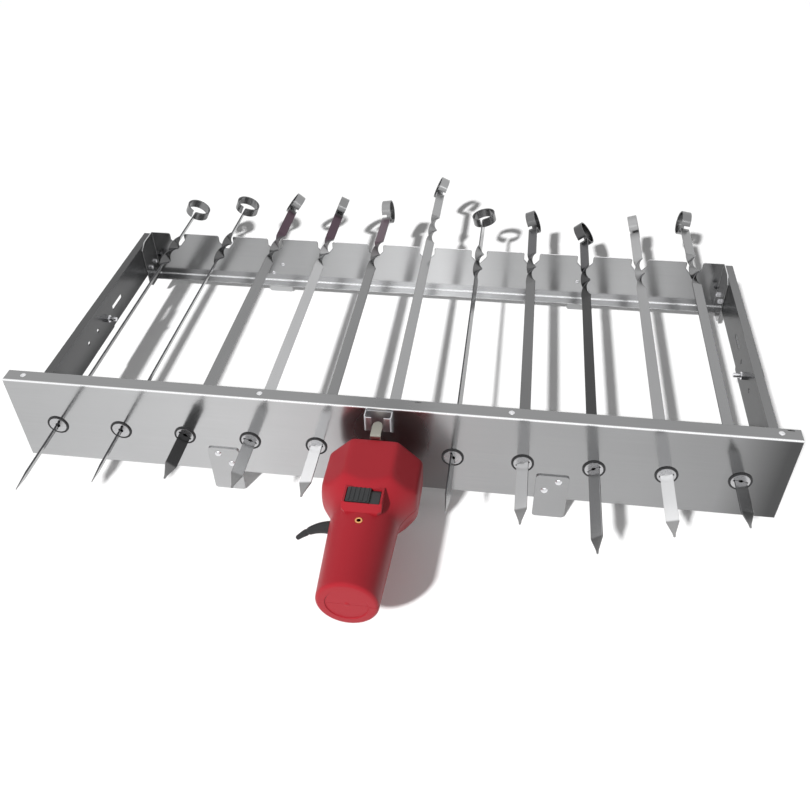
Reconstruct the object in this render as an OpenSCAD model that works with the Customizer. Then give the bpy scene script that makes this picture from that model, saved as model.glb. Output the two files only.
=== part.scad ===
// Electric skewer grill: eleven skewers turned by one row of equal gears in a folded steel
// box, a frame of adjustable length that holds them over a fire, and a clip-on motor.
// X runs along the row of skewers, Y from the motor to the rings, Z up.

/* [Gear row] */
// Module of the gears; with the teeth it gives the spacing of the skewers
gear_module = 4; // [3.6:0.1:4.2]
// Teeth of each gear; an even number, so that a tooth or a gap faces each neighbour
gear_teeth = 20; // [18:2:20]
// Thickness of each gear
gear_width = 6; // [4:0.5:7]
// Thinning of each tooth at the pitch circle, for backlash
tooth_thinning = 0.3; // [0.2:0.05:0.5]

/* [Bushes and bearings] */
// Diameter of the bush's journals
bush_d = 21; // [20:0.5:23]
// Width of the black bearing ring around a bush
ring_w = 2.5; // [2.2:0.1:4]
// Thickness of the bearing's flange outside the sheet
ring_t = 1.5; // [1:0.1:2]
// Wall of the bearing's sleeve
sleeve_wall = 1.5; // [1:0.1:2]
// Round hole through the middle of a bush
bush_hole_d = 6; // [5:0.5:7]
// Thickness of the shoulder that the gear seats on
shoulder_t = 2; // [1.5:0.1:2.5]

/* [Skewers] */
// Width of the flat steel
blade_w = 14; // [10:0.5:14.5]
// Thickness of the flat steel
blade_t = 2; // [1.5:0.1:2.4]
// Length of the ground point
point_len = 22; // [15:1:30]
// Tip to the start of the twist
blade_len = 468; // [462:1:474]
// Length of the twist
twist_len = 82; // [70:1:90]
// Start of the twist to the middle of the ring
grip_len = 180; // [174:1:186]
// Outer diameter of the rolled ring
ring_d = 37; // [30:1:42]

/* [Front box] */
// Height of the front box
box_h = 120; // [112:1:130]
// Depth of the front box
box_depth = 18; // [17:0.5:22]
// From the last skewer's axis to the end of the box
end_margin = 50; // [48:1:60]
// Height of the skewers' axes above the box's lower edge
axis_h = 54; // [48:0.5:58]
// Thickness of the sheet steel
sheet = 1.2; // [0.8:0.1:1.5]

/* [Frame] */
// Front face of the box to the rear face of the rear panel
frame_len = 438; // [425:1:450]
// Height of the rear panel above its lower fold
rear_h = 76; // [72:1:82]
// Depth of the rear panel's lower flange
rear_flange = 18; // [12:1:24]
// Length of the rear panel's ears
ear_len = 46; // [40:1:60]
// Height of the side plates
side_h = 52; // [44:1:56]
// Width of the side plates' top flange
side_flange = 11; // [8:0.5:14]
// Length of the front side plates
front_side_len = 244; // [236:1:252]
// How far the front and rear side plates overlap at this length
plate_overlap = 101.5; // [92:0.5:108]
// Distance of the three holes in a front side plate
hole_step = 30; // [26:1:32]
// Length of the slot in a rear side plate
slot_len = 126; // [112:1:134]
// Diameter of the slot bolts
clamp_bolt_d = 6; // [5:0.5:6]

/* [Feet] */
// Width of a foot bracket
foot_w = 38; // [34:1:44]
// Height of a foot bracket
foot_h = 68; // [62:1:72]
// Thickness of a foot bracket
foot_t = 2; // [1.5:0.5:3]
// How far the feet reach below the front box
foot_drop = 30; // [26:1:36]
// Middle of the front feet from the middle of the row
front_foot_x = 196; // [190:1:200]
// Middle of the rear feet from the middle of the row
rear_foot_x = 240; // [230:1:260]

/* [Motor] */
// Length of the motor housing
motor_len = 186; // [182:1:200]
// Gap between the front box and the housing's head
motor_gap = 30; // [28:1:36]
// Half the width of the head
head_half_w = 54; // [52:0.5:58]
// Height of the head's flat top above its axis
head_top = 47; // [46:0.5:52]
// Half the width of the head's flat top
top_half_w = 25.5; // [20:0.5:28]
// Radius of the grip where it leaves the head
grip_r = 36.5; // [35:0.5:39]
// Radius of the grip at its end
grip_end_r = 32; // [30:0.5:34]
// Wall of the moulded housing
housing_wall = 2.5; // [2:0.1:3]
// How far the housing's axis lies beside the shaft
motor_offset = -3.5; // [-5:0.5:-2]
// Diameter of the output shaft
shaft_d = 8; // [7:0.5:10]
// Width of the opening for the switch
switch_w = 37; // [36:0.5:40]
// Depth of the opening for the switch
switch_l = 21; // [20:0.5:22]
// Height of the bezel above the housing's axis
bezel_z = 42; // [41.5:0.5:44]
// Diameter of the cord boot at its root
boot_d = 14.5; // [12:0.5:16]
// Length of the cord boot
boot_len = 37; // [30:1:45]

/* [Hidden] */
$fn = 48;

// How each bush happens to stand, and how far each tip stands out in front of the box.
// A gear can sit on its hexagon in steps of six degrees of its teeth, so that the odd bushes
// stand at an odd and the even ones at an even multiple of three degrees.
slot_angle = [63, 66, -39, -24, 9, -24, 105, 24, 39, 18, -9];
tip_out = [109, 88, 73, 78, 82, -10, 85, 93, 123, 91, 69];

stations = len(slot_angle);
driven = (stations + 1) / 2;
names = [for (k = [1:stations]) str(k)];

over = 1;              // how far a cut runs past the face it opens
fit = 0.1;             // play on a diameter that turns or seats
slack = 0.3;           // gap between pieces that slide past each other
end_play = 0.2;        // play of a bush between its bearings

// Row and box
pitch = gear_module * gear_teeth;
box_len = (stations - 1) * pitch + 2 * end_margin;
inner_z = [sheet, box_h - sheet];
cover_back = box_depth - slack;
cover_front = cover_back - sheet;
cover_lip = 12;
box_screw_x = [143, 429];
box_screw_y = 10.4;
box_screw_d = 3.4;
hook_slots = [35, 436];
hook_slot = [7, 1.6];

// Places of the parts of a bush along its axis
sleeve_in = sheet + 2;
shoulder_from = sleeve_in + end_play;
gear_from = shoulder_from + shoulder_t;
gear_to = gear_from + gear_width;
rear_sleeve_from = gear_to + end_play;
bush_sink = 0.3;
bush_from = -ring_t + bush_sink;
bush_to = cover_back + ring_t - bush_sink;
sleeve_d = bush_d + 2 * sleeve_wall;
bearing_d = bush_d + 2 * ring_w;
shoulder_d = bush_d + 7;
hex_af = bush_d + 0.6;
slot_w = blade_w + 2.5;
slot_h = blade_t + 0.6;

// Gear geometry
pressure = 20;
flank_steps = 3;
pitch_r = pitch / 2;
base_r = pitch_r * cos(pressure);
outer_r = pitch_r + gear_module;
root_r = pitch_r - 1.25 * gear_module;
half_tooth = (90 / gear_teeth) - tooth_thinning / 2 / pitch_r * 180 / PI;
tooth_step = 360 / gear_teeth;

// Skewer
ring_r = ring_d / 2;
ring_centre = blade_len + grip_len;
bend_r = 3;
ring_gap = 1.5;
twist_slices = 24;
point_flat = 1.2;

// Frame
side_x = box_len / 2 - 9;
side_low = 15;
side_top = side_low + side_h;
rear_side_x = side_x + sheet + slack;
rear_low = -8.7;
rear_top = rear_low + rear_h;
rear_front_face = frame_len - sheet;
bolt_z = side_low + side_h / 2 - 1;
hole_from_end = 54;
hole_mid = box_depth + front_side_len - hole_from_end;
hole_y = [for (i = [-1:1]) hole_mid + i * hole_step];
slot_lead = 27;
slot_mid = hole_mid + slot_lead;
rear_side_end = frame_len - sheet - slack;
rear_side_len = rear_side_end - (box_depth + front_side_len) + plate_overlap;
side_ear = 14;
side_screw_z = [side_low + 10, side_top - 12];
side_screw_d = 4;
ear_bolt_y = [frame_len - 12, frame_len - 30];
ear_bolt_z = 21;
ear_bolt_d = 4;
notch_half = 11.5;
notch_wall = 2;
notch_floor = 8.5;
notch_floor_half = 2.5;
notch_chamfer = 2;

// Feet
foot_r = 4;
foot_bolt_d = 4;
foot_bolts = [[7, foot_h - 9], [-8, foot_h - 24]];
rear_foot_bolts = [[-8, 52], [9, 35.5]];

// Hanger
hanger_w = 31;
hanger_z = [87, 117];
hanger_depth = 13;
hanger_mouth = 14;
tongue_w = 12;
tongue_t = 3;
tongue_top = 107;
tongue_reach = 23;
tongue_leg = 23;
tongue_screw_z = tongue_top - 16;
rivet_d = 3;
rivet_dx = 8;
rivet_z = 92;

// Motor, measured from its own axis, with Y of the whole object
head_y = -motor_gap;
end_y = head_y - motor_len;
head_side_z = 19.5;
head_len = 30;
taper_len = 58;
taper_from = head_y - head_len;
taper_to = taper_from - taper_len;
head_r = 62;
rim_r = 4;
seam = 0.3;
end_recess_r = 22;
end_recess = 1;
bezel_w = 42;
bezel_margin = 2.5;
bezel_front = 7.5;
bezel_bottom = 33;
switch_mid_y = -109.5;
switch_top = bezel_z - 2;
switch_depth = 12;
knob_w = 25;
knob_h = 4.3;
knob_ribs = 5;
knob_travel = 9;
knob_from = -switch_w / 2 + 1;
stem_w = 6;
stem_l = 8;
stem_h = 5;
jack_y = -138;
jack_d = 8;
jack_hole_d = 4.2;
boot_y = -121;
boot_sides = 16;
boot_rings = 15;
housing_screw_d = 3;
housing_post_d = 8;
housing_head_d = 6.5;
head_post_x = 42;
head_post_from = 9;
head_post_step = 37;
head_post_y = [head_y - head_post_from, head_y - head_post_from - head_post_step];
grip_post_x = 21;
grip_post_y = end_y + 9;
gearbox_r = 33;
gearbox_len = 48;
gearbox_nose_d = 18;
core_r = 25.5;
core_neck = 10;
core_len = 90;
key_w = slot_w - 1;
key_t = slot_h - 0.4;
key_from = -4;
key_to = 6;
nose_d = bush_hole_d - 0.4;

// The origin lies under the middle of the whole object, on the floor.
front_y = end_y;
rear_y = ring_centre - tip_out[driven - 1] + ring_r;
middle_y = (front_y + rear_y) / 2;

steel = [0.78, 0.78, 0.8];
dull_steel = [0.62, 0.63, 0.65];
red = [0.67, 0.18, 0.22];
black = [0.08, 0.08, 0.09];
gear_colour = [0.85, 0.84, 0.78];
brass = [0.83, 0.66, 0.3];
ivory = [0.78, 0.76, 0.7];

// ---------------------------------------------------------------- helpers

// From the frame of the work (row centre, front face, lower edge) to the object's own frame
module placed() {
    translate([0, -middle_y, foot_drop]) children();
}

// Draws along +Y, starting at y
module along_y(y) {
    translate([0, y, 0]) rotate([-90, 0, 0]) children();
}

function station_x(k) = (k - driven) * pitch;

module at_station(k) {
    translate([station_x(k), 0, axis_h]) children();
}

// Turned like the slot of bush k
module turned(k) {
    rotate([0, -slot_angle[k - 1], 0]) children();
}

module both_sides() {
    children();
    mirror([1, 0, 0]) children();
}

// A flat plate with round corners, standing in X and Z, its front face at y = 0
module rounded_plate(w, h, r, t) {
    rotate([90, 0, 0]) mirror([0, 0, 1]) linear_extrude(t) {
        translate([-w / 2 + r, 0]) square([w - 2 * r, h]);
        translate([-w / 2, r]) square([w, h - 2 * r]);
        for (x = [-w / 2 + r, w / 2 - r], z = [r, h - r]) translate([x, z]) circle(r);
    }
}

// A domed head on z = 0
module dome(d, h) {
    sphere_r = (d * d / 4 + h * h) / (2 * h);
    intersection() {
        translate([0, 0, h - sphere_r]) sphere(sphere_r);
        cylinder(d = d, h = h);
    }
}

// A domed bolt: its head stands on z = 0 and its shank points down
module domed_bolt(d, length, head_d, head_h) {
    dome(head_d, head_h);
    translate([0, 0, -length]) cylinder(d = d, h = length + 0.2);
}

// A nut standing on z = 0
module nut(d, af, h) {
    difference() {
        cylinder(d = af / cos(30), h = h, $fn = 6);
        translate([0, 0, -over]) cylinder(d = d + fit, h = h + 2 * over);
    }
}

// ---------------------------------------------------------------- drive row

module bush(k) {
    color(steel) placed() at_station(k) turned(k) difference() {
        union() {
            along_y(bush_from) cylinder(d = bush_d, h = bush_to - bush_from);
            along_y(shoulder_from) cylinder(d = shoulder_d, h = shoulder_t);
            along_y(gear_from) cylinder(d = hex_af / cos(30), h = gear_width, $fn = 6);
        }
        translate([-slot_w / 2, bush_from - over, -slot_h / 2])
            cube([slot_w, bush_to - bush_from + 2 * over, slot_h]);
        along_y(bush_from - over) cylinder(d = bush_hole_d, h = bush_to - bush_from + 2 * over);
    }
}

function involute(a) = tan(a) * 180 / PI - a;
// Half the angle that a tooth fills at radius r
function tooth_half_at(r) = half_tooth + involute(pressure) - involute(acos(min(1, base_r / r)));
function polar(r, a) = [r * cos(a), r * sin(a)];
flank_radii = [for (i = [0:flank_steps]) base_r + (outer_r - base_r) * i / flank_steps];
tooth_half_points = concat([[root_r, tooth_half_at(base_r) + 0.6]],
                           [for (r = flank_radii) [r, tooth_half_at(r)]]);
gear_points = [
    for (tooth = [0:gear_teeth - 1]) each concat(
        [for (p = tooth_half_points) polar(p[0], tooth * tooth_step - p[1])],
        [for (i = [len(tooth_half_points) - 1:-1:0])
            polar(tooth_half_points[i][0], tooth * tooth_step + tooth_half_points[i][1])])
];

// Every second gear stands half a tooth on, so that its gaps face its neighbours' teeth.
module gear(k) {
    color(gear_colour) placed() at_station(k) along_y(gear_from)
        linear_extrude(gear_width) difference() {
            rotate((k - driven) % 2 == 0 ? 0 : tooth_step / 2) polygon(gear_points);
            rotate(-slot_angle[k - 1]) circle(d = (hex_af + fit) / cos(30), $fn = 6);
        }
}

module bearing(from, to, flange_from) {
    difference() {
        union() {
            along_y(from) cylinder(d = sleeve_d, h = to - from);
            along_y(flange_from) cylinder(d = bearing_d, h = ring_t);
        }
        along_y(min(from, flange_from) - over)
            cylinder(d = bush_d + fit, h = to - from + ring_t + 2 * over);
    }
}

module bearings() {
    color(black) placed() for (k = [1:stations]) at_station(k) {
        bearing(0, sleeve_in, -ring_t);
        bearing(rear_sleeve_from, cover_back, cover_back);
    }
}

// ---------------------------------------------------------------- skewers

// The handle and its rolled eye, seen along the strip's width: x runs along the skewer from
// the end of the twist and y across it. The strip turns up in a small bend, follows the ring
// all round and ends under itself.
module eye_profile() {
    ring_at = grip_len - twist_len;
    mid_r = ring_r - blade_t / 2;
    bend_at = ring_at - mid_r - bend_r;
    difference() {
        translate([ring_at, 0]) circle(ring_r, $fn = 96);
        translate([ring_at, 0]) circle(ring_r - blade_t, $fn = 96);
        translate([ring_at - ring_d, -blade_t / 2 - ring_gap])
            square([ring_d, blade_t / 2 + ring_gap + bend_r]);
    }
    difference() {
        translate([bend_at, bend_r]) circle(bend_r + blade_t / 2);
        translate([bend_at, bend_r]) circle(bend_r - blade_t / 2);
        translate([bend_at - ring_d, -ring_d]) square([ring_d, 2 * ring_d]);
        translate([bend_at - over, bend_r]) square([ring_d, ring_d]);
    }
    translate([0, -blade_t / 2]) square([bend_at, blade_t]);
}

module blade() {
    points = [[-point_flat / 2, 0], [point_flat / 2, 0], [blade_w / 2, point_len],
              [blade_w / 2, blade_len], [-blade_w / 2, blade_len], [-blade_w / 2, point_len]];
    translate([0, 0, -blade_t / 2]) linear_extrude(blade_t) polygon(points);
}

module twist() {
    along_y(blade_len)
        linear_extrude(twist_len, twist = 360, slices = twist_slices, segments = 12)
            square([blade_w, blade_t], center = true);
}

module skewer(k) {
    color(steel) placed() at_station(k) translate([0, -tip_out[k - 1], 0]) turned(k) {
        blade();
        twist();
        translate([-blade_w / 2, blade_len + twist_len, 0]) rotate([90, 0, 90])
            linear_extrude(blade_w) eye_profile();
    }
}

// ---------------------------------------------------------------- front box

module row_holes(d, from, length) {
    for (k = [1:stations]) at_station(k) along_y(from) cylinder(d = d, h = length);
}

module box_screw_places(side) {
    for (x = box_screw_x, s = [-1, 1]) translate([s * x, box_screw_y, side > 0 ? box_h : 0])
        mirror([0, 0, side > 0 ? 0 : 1]) children();
}

module foot_bolt_places(middle, places, z) {
    both_sides() for (p = places) translate([middle + p[0], 0, z + p[1]]) children();
}

module hanger_rivet_places() {
    for (s = [-1, 1]) translate([motor_offset + s * rivet_dx, 0, rivet_z]) children();
}

module side_screw_places() {
    both_sides() for (z = side_screw_z) translate([side_x + sheet - side_ear / 2, 0, z]) children();
}

module front_panel() {
    color(steel) placed() difference() {
        translate([-box_len / 2, 0, 0]) cube([box_len, box_depth, box_h]);
        translate([-box_len / 2 + sheet, sheet, sheet])
            cube([box_len - 2 * sheet, box_depth, box_h - 2 * sheet]);
        row_holes(sleeve_d + fit, -over, sheet + 2 * over);
        for (side = [-1, 1]) box_screw_places(side)
            translate([0, 0, -2 * sheet]) cylinder(d = box_screw_d + fit, h = 4 * sheet);
        foot_bolt_places(front_foot_x, foot_bolts, -foot_drop)
            along_y(-over) cylinder(d = foot_bolt_d + fit, h = sheet + 2 * over);
        hanger_rivet_places() along_y(-over) cylinder(d = rivet_d + fit, h = sheet + 2 * over);
        for (x = hook_slots) translate([x, box_depth - 3, box_h - sheet - over])
            cube([hook_slot[0], hook_slot[1], sheet + 2 * over]);
    }
}

module back_cover() {
    half = box_len / 2 - sheet - fit;
    low = inner_z[0] + fit;
    high = inner_z[1] - fit;
    color(dull_steel) placed() difference() {
        translate([-half, cover_back - cover_lip, low]) cube([2 * half, cover_lip, high - low]);
        translate([-half - over, cover_back - cover_lip - over, low + sheet])
            cube([2 * half + 2 * over, cover_lip - sheet + over, high - low - 2 * sheet]);
        row_holes(sleeve_d + fit, cover_front - over, sheet + 2 * over);
        for (side = [-1, 1]) box_screw_places(side)
            translate([0, 0, -4 * sheet]) cylinder(d = box_screw_d + fit, h = 4 * sheet);
        side_screw_places() along_y(cover_front - over)
            cylinder(d = side_screw_d + fit, h = sheet + 2 * over);
    }
}

module box_screws() {
    side_screw_len = cover_back + sheet - gear_to - 1;
    color(steel) placed() {
        for (side = [-1, 1]) box_screw_places(side) domed_bolt(box_screw_d, 7, 7, 1.6);
        side_screw_places() along_y(cover_back + sheet) domed_bolt(side_screw_d, side_screw_len, 8, 2);
    }
}

module front_brackets() {
    color(steel) placed() difference() {
        both_sides() translate([front_foot_x, -foot_t, -foot_drop])
            rounded_plate(foot_w, foot_h, foot_r, foot_t);
        foot_bolt_places(front_foot_x, foot_bolts, -foot_drop)
            along_y(-foot_t - over) cylinder(d = foot_bolt_d + fit, h = foot_t + 2 * over);
    }
}

// Bolts of the front feet with their nuts, and the rivets of the hanger bracket
module panel_bolts() {
    nut_h = 3;
    nut_af = 7;
    color(steel) placed() {
        foot_bolt_places(front_foot_x, foot_bolts, -foot_drop) {
            translate([0, -foot_t, 0]) rotate([90, 0, 0])
                domed_bolt(foot_bolt_d, foot_t + sheet + nut_h, 9, 2.6);
            along_y(sheet) nut(foot_bolt_d, nut_af, nut_h);
        }
        hanger_rivet_places() {
            translate([0, -sheet, 0]) rotate([90, 0, 0]) domed_bolt(rivet_d, 2 * sheet, 6, 1.5);
            along_y(sheet) dome(5.5, 1.2);
        }
    }
}

// A channel open to the front: two lips leave a mouth for the motor's tongue.
module hanger_bracket() {
    lip = (hanger_w - hanger_mouth) / 2;
    curl = 3;
    wall = sheet;
    color(steel) placed() translate([motor_offset, 0, 0]) difference() {
        translate([0, 0, hanger_z[0]]) linear_extrude(hanger_z[1] - hanger_z[0]) difference() {
            union() {
                translate([-hanger_w / 2, -hanger_depth + curl]) square([hanger_w, hanger_depth - curl]);
                translate([-hanger_w / 2 + curl, -hanger_depth]) square([hanger_w - 2 * curl, hanger_depth]);
                for (s = [-1, 1]) translate([s * (hanger_w / 2 - curl), -hanger_depth + curl]) circle(curl);
            }
            translate([-hanger_w / 2 + wall, -hanger_depth + curl])
                square([hanger_w - 2 * wall, hanger_depth - curl - wall]);
            translate([-hanger_w / 2 + curl, -hanger_depth + wall])
                square([hanger_w - 2 * curl, hanger_depth - 2 * wall]);
            for (s = [-1, 1]) translate([s * (hanger_w / 2 - curl), -hanger_depth + curl]) circle(curl - wall);
            translate([-hanger_mouth / 2, -hanger_depth - over]) square([hanger_mouth, wall + 2 * over]);
        }
        // The cheeks are cut back from below, towards the front.
        translate([-hanger_w, -hanger_depth - over, hanger_z[0] - over]) rotate([90, 0, 90])
            linear_extrude(2 * hanger_w)
                polygon([[0, 0], [hanger_depth - wall, 0], [hanger_depth - wall, over], [0, 13]]);
        translate([-motor_offset, 0, 0]) hanger_rivet_places()
            along_y(-sheet - over) cylinder(d = rivet_d + fit, h = sheet + 2 * over);
    }
}

// ---------------------------------------------------------------- side plates

// An upright web of the side plate, from y0 to y1, with its rear or front corners cut
module web(x, y0, y1, low, high, cut0, cut1) {
    translate([x, 0, 0]) rotate([90, 0, 90]) linear_extrude(sheet)
        polygon([[y0 + cut0, low], [y1 - cut1, low], [y1, low + cut1], [y1, high - cut1 / 2],
                 [y1 - cut1 / 2, high], [y0 + cut0 / 2, high], [y0, high - cut0 / 2], [y0, low + cut0]]);
}

module top_flange(x, y0, y1, top, cut0, cut1) {
    translate([x, 0, top - sheet]) linear_extrude(sheet)
        polygon([[0, y0], [side_flange - cut0, y0], [side_flange, y0 + 2 * cut0],
                 [side_flange, y1 - 2 * cut1], [side_flange - cut1, y1], [0, y1]]);
}

module front_side() {
    y0 = cover_back;
    y1 = box_depth + front_side_len;
    difference() {
        union() {
            web(side_x, y0, y1, side_low, side_top, 0, 10);
            top_flange(side_x, box_depth, y1 - 5, side_top, 0, 5);
            translate([side_x + sheet - side_ear, y0, side_low]) cube([side_ear, sheet, side_h]);
        }
        for (y = hole_y) translate([side_x - over, y, bolt_z]) rotate([0, 90, 0])
            cylinder(d = clamp_bolt_d + 2 * fit, h = sheet + 2 * over);
        side_screw_places() along_y(y0 - over) cylinder(d = side_screw_d + fit, h = sheet + 2 * over);
    }
}

module rear_side() {
    y1 = rear_front_face - slack;
    y0 = y1 - rear_side_len;
    half = (slot_len - clamp_bolt_d - 2 * fit) / 2;
    top = side_top - sheet - slack;
    difference() {
        union() {
            web(rear_side_x, y0, y1, side_low, top, 10, 0);
            top_flange(rear_side_x, y0 + 5, y1, top, 5, 0);
        }
        translate([rear_side_x - over, slot_mid, bolt_z]) rotate([0, 90, 0])
            linear_extrude(sheet + 2 * over) {
                square([clamp_bolt_d + 2 * fit, 2 * half], center = true);
                for (s = [-1, 1]) translate([0, s * half]) circle(d = clamp_bolt_d + 2 * fit);
            }
        for (y = ear_bolt_y) translate([rear_side_x - over, y, ear_bolt_z]) rotate([0, 90, 0])
            cylinder(d = ear_bolt_d + fit, h = sheet + 2 * over);
    }
}

module front_side_right() {
    color(steel) placed() front_side();
}

module front_side_left() {
    color(steel) placed() mirror([1, 0, 0]) front_side();
}

module rear_side_right() {
    color(steel) placed() rear_side();
}

module rear_side_left() {
    color(steel) placed() mirror([1, 0, 0]) rear_side();
}

// A clamp bolt of the side at +X: head and washer outside, nut and bolt end inside
module slot_bolt(y) {
    washer_x = rear_side_x + sheet + slack;
    washer_t = 1.2;
    nut_h = 5;
    end_out = 15;
    translate([washer_x, y, bolt_z]) rotate([0, 90, 0]) {
        difference() {
            cylinder(d = 2.6 * clamp_bolt_d, h = washer_t);
            translate([0, 0, -over]) cylinder(d = clamp_bolt_d + fit, h = washer_t + 2 * over);
        }
        translate([0, 0, washer_t])
            domed_bolt(clamp_bolt_d, washer_x + washer_t - side_x + end_out, 12, 3.5);
    }
    translate([side_x, y, bolt_z]) rotate([0, -90, 0]) nut(clamp_bolt_d, 10, nut_h);
}

module slot_bolts() {
    color(steel) placed() {
        slot_bolt(hole_y[1]);
        mirror([1, 0, 0]) slot_bolt(hole_y[2]);
    }
}

// ---------------------------------------------------------------- rear panel

// One notch as an outline in X and Z, its middle on the skewer's axis
module notch() {
    top = rear_top - axis_h;
    polygon([[-notch_half - notch_chamfer, top + over], [-notch_half - notch_chamfer, top],
             [-notch_half, top - notch_chamfer], [-notch_half, notch_wall],
             [-notch_floor_half, -notch_floor], [notch_floor_half, -notch_floor],
             [notch_half, notch_wall], [notch_half, top - notch_chamfer],
             [notch_half + notch_chamfer, top], [notch_half + notch_chamfer, top + over]]);
}

module rear_panel() {
    ear_x = rear_side_x - sheet;
    foot_z = -foot_drop;
    color(steel) placed() difference() {
        union() {
            translate([-rear_side_x, rear_front_face, rear_low]) cube([2 * rear_side_x, sheet, rear_h]);
            translate([-ear_x + slack, frame_len - rear_flange, rear_low])
                cube([2 * (ear_x - slack), rear_flange, sheet]);
            both_sides() translate([ear_x, 0, 0]) rotate([90, 0, 90]) linear_extrude(sheet)
                polygon([[frame_len, rear_low], [frame_len - ear_len + 8, rear_low],
                         [frame_len - ear_len, rear_low + 8], [frame_len - ear_len, rear_top - 8],
                         [frame_len - ear_len + 14, rear_top], [frame_len, rear_top]]);
        }
        for (k = [1:stations]) at_station(k) rotate([90, 0, 0])
            translate([0, 0, -frame_len - over]) linear_extrude(sheet + 2 * over) notch();
        for (s = [-1, 1], y = ear_bolt_y) translate([s * ear_x - 2 * sheet, y, ear_bolt_z])
            rotate([0, 90, 0]) cylinder(d = ear_bolt_d + fit, h = 4 * sheet);
        foot_bolt_places(rear_foot_x, rear_foot_bolts, foot_z)
            along_y(rear_front_face - over) cylinder(d = foot_bolt_d + fit, h = sheet + 2 * over);
    }
}

module corner_bolts() {
    nut_h = 3;
    color(steel) placed() both_sides() for (y = ear_bolt_y) {
        translate([rear_side_x + sheet, y, ear_bolt_z]) rotate([0, 90, 0])
            domed_bolt(ear_bolt_d, 2 * sheet + nut_h + 1, 9, 2.6);
        translate([rear_side_x - sheet, y, ear_bolt_z]) rotate([0, -90, 0]) nut(ear_bolt_d, 7, nut_h);
    }
}

module rear_brackets() {
    color(steel) placed() difference() {
        both_sides() translate([rear_foot_x, frame_len, -foot_drop])
            rounded_plate(foot_w, foot_h, foot_r, foot_t);
        foot_bolt_places(rear_foot_x, rear_foot_bolts, -foot_drop)
            along_y(frame_len - over) cylinder(d = foot_bolt_d + fit, h = foot_t + 2 * over);
    }
}

module rear_bracket_bolts() {
    grip = sheet + foot_t;
    color(steel) placed() foot_bolt_places(rear_foot_x, rear_foot_bolts, -foot_drop) {
        translate([0, rear_front_face, 0]) rotate([90, 0, 0]) domed_bolt(foot_bolt_d, grip, 7, 2);
        along_y(frame_len + foot_t) dome(7, 1.8);
    }
}

// ---------------------------------------------------------------- motor

function unit(v) = v / norm(v);

// Points of a round corner at b, between a and c
function round_corner(a, b, c, r, steps) =
    let (u = unit(a - b), v = unit(c - b), half = acos(u * v) / 2,
         middle = b + unit(u + v) * r / sin(half),
         first = b + u * r / tan(half) - middle, last = b + v * r / tan(half) - middle,
         start = atan2(first[1], first[0]), turn = atan2(last[1], last[0]) - start,
         sweep = turn > 180 ? turn - 360 : turn < -180 ? turn + 360 : turn)
    [for (i = [0:steps]) middle + polar(r, start + sweep * i / steps)];

// Cross-section of the head, drawn in by d: a flat top and bottom, slanted shoulders and
// upright sides with round corners
function head_section(d) =
    let (w = head_half_w - d, t = head_top - d, f = top_half_w - 0.4 * d, z = head_side_z - 0.4 * d,
         s = w - 1,
         p = [[f, t], [-f, t], [-s, z], [-w, 0], [-s, -z], [-f, -t], [f, -t], [s, -z], [w, 0], [s, z]],
         n = len(p))
    [for (i = [0:n - 1]) each
        let (flat = abs(p[i][1]) > z + over, middle = p[i][1] == 0)
        middle ? [p[i]]
               : round_corner(p[(i + n - 1) % n], p[i], p[(i + 1) % n], flat ? 3 : 9, flat ? 2 : 5)];

// Radius of the housing's turned form, drawn in by d, from the head to the end
taper_steps = 12;
rim_steps = 4;
function taper_r(t) = grip_r + (head_r - grip_r) * (1 + cos(180 * t)) / 2;
function turned_profile(d) = concat(
    [[0, head_y - d], [head_r - d, head_y - d]],
    [for (i = [0:taper_steps]) [taper_r(i / taper_steps) - d,
                                taper_from + (taper_to - taper_from) * i / taper_steps]],
    [for (i = [0:rim_steps]) [grip_end_r - d - rim_r + rim_r * cos(90 * i / rim_steps),
                              end_y + d + rim_r - rim_r * sin(90 * i / rim_steps)]],
    [[0, end_y + d]]);

module housing_form(d) {
    intersection() {
        rotate([90, 0, 0]) mirror([0, 0, 1]) linear_extrude_from(end_y - over, head_y - d)
            polygon(head_section(d));
        rotate([-90, 0, 0]) rotate_extrude($fn = 96) polygon(turned_profile(d));
    }
}

module linear_extrude_from(a, b) {
    translate([0, 0, a]) linear_extrude(b - a) children();
}

module on_motor() {
    placed() translate([motor_offset, 0, axis_h]) children();
}

// The raised bezel: its plan has cut front corners, its side a long front slope.
module bezel() {
    half_l = switch_l / 2;
    front = switch_mid_y - half_l - bezel_front;
    rear = switch_mid_y + half_l + bezel_margin;
    corner = 4;
    intersection() {
        linear_extrude(bezel_z + over)
            polygon([[-bezel_w / 2, rear], [-bezel_w / 2, front + corner], [-bezel_w / 2 + corner, front],
                     [bezel_w / 2 - corner, front], [bezel_w / 2, front + corner], [bezel_w / 2, rear]]);
        translate([-bezel_w, 0, 0]) rotate([90, 0, 90]) linear_extrude(2 * bezel_w)
            polygon([[rear, bezel_bottom], [rear, bezel_z], [front + bezel_front - 1, bezel_z],
                     [front, bezel_z - 6], [front, bezel_bottom]]);
    }
}

module screw_posts(d, from, to) {
    for (s = [-1, 1]) {
        for (y = head_post_y) translate([s * head_post_x, y, from]) cylinder(d = d, h = to - from);
        translate([s * grip_post_x, grip_post_y, from]) cylinder(d = d, h = to - from);
    }
}

post_top = 14;
head_sink = -12;

module housing_shell() {
    difference() {
        housing_form(0);
        housing_form(housing_wall);
        along_y(end_y - over) cylinder(r = end_recess_r, h = end_recess + over);
    }
    intersection() {
        housing_form(0);
        screw_posts(housing_post_d, -head_top, head_top);
    }
    translate([0, end_y + 0.2, 0]) rotate([-90, 0, 0]) cylinder(r = 2, h = end_recess + 0.5);
}

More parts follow.
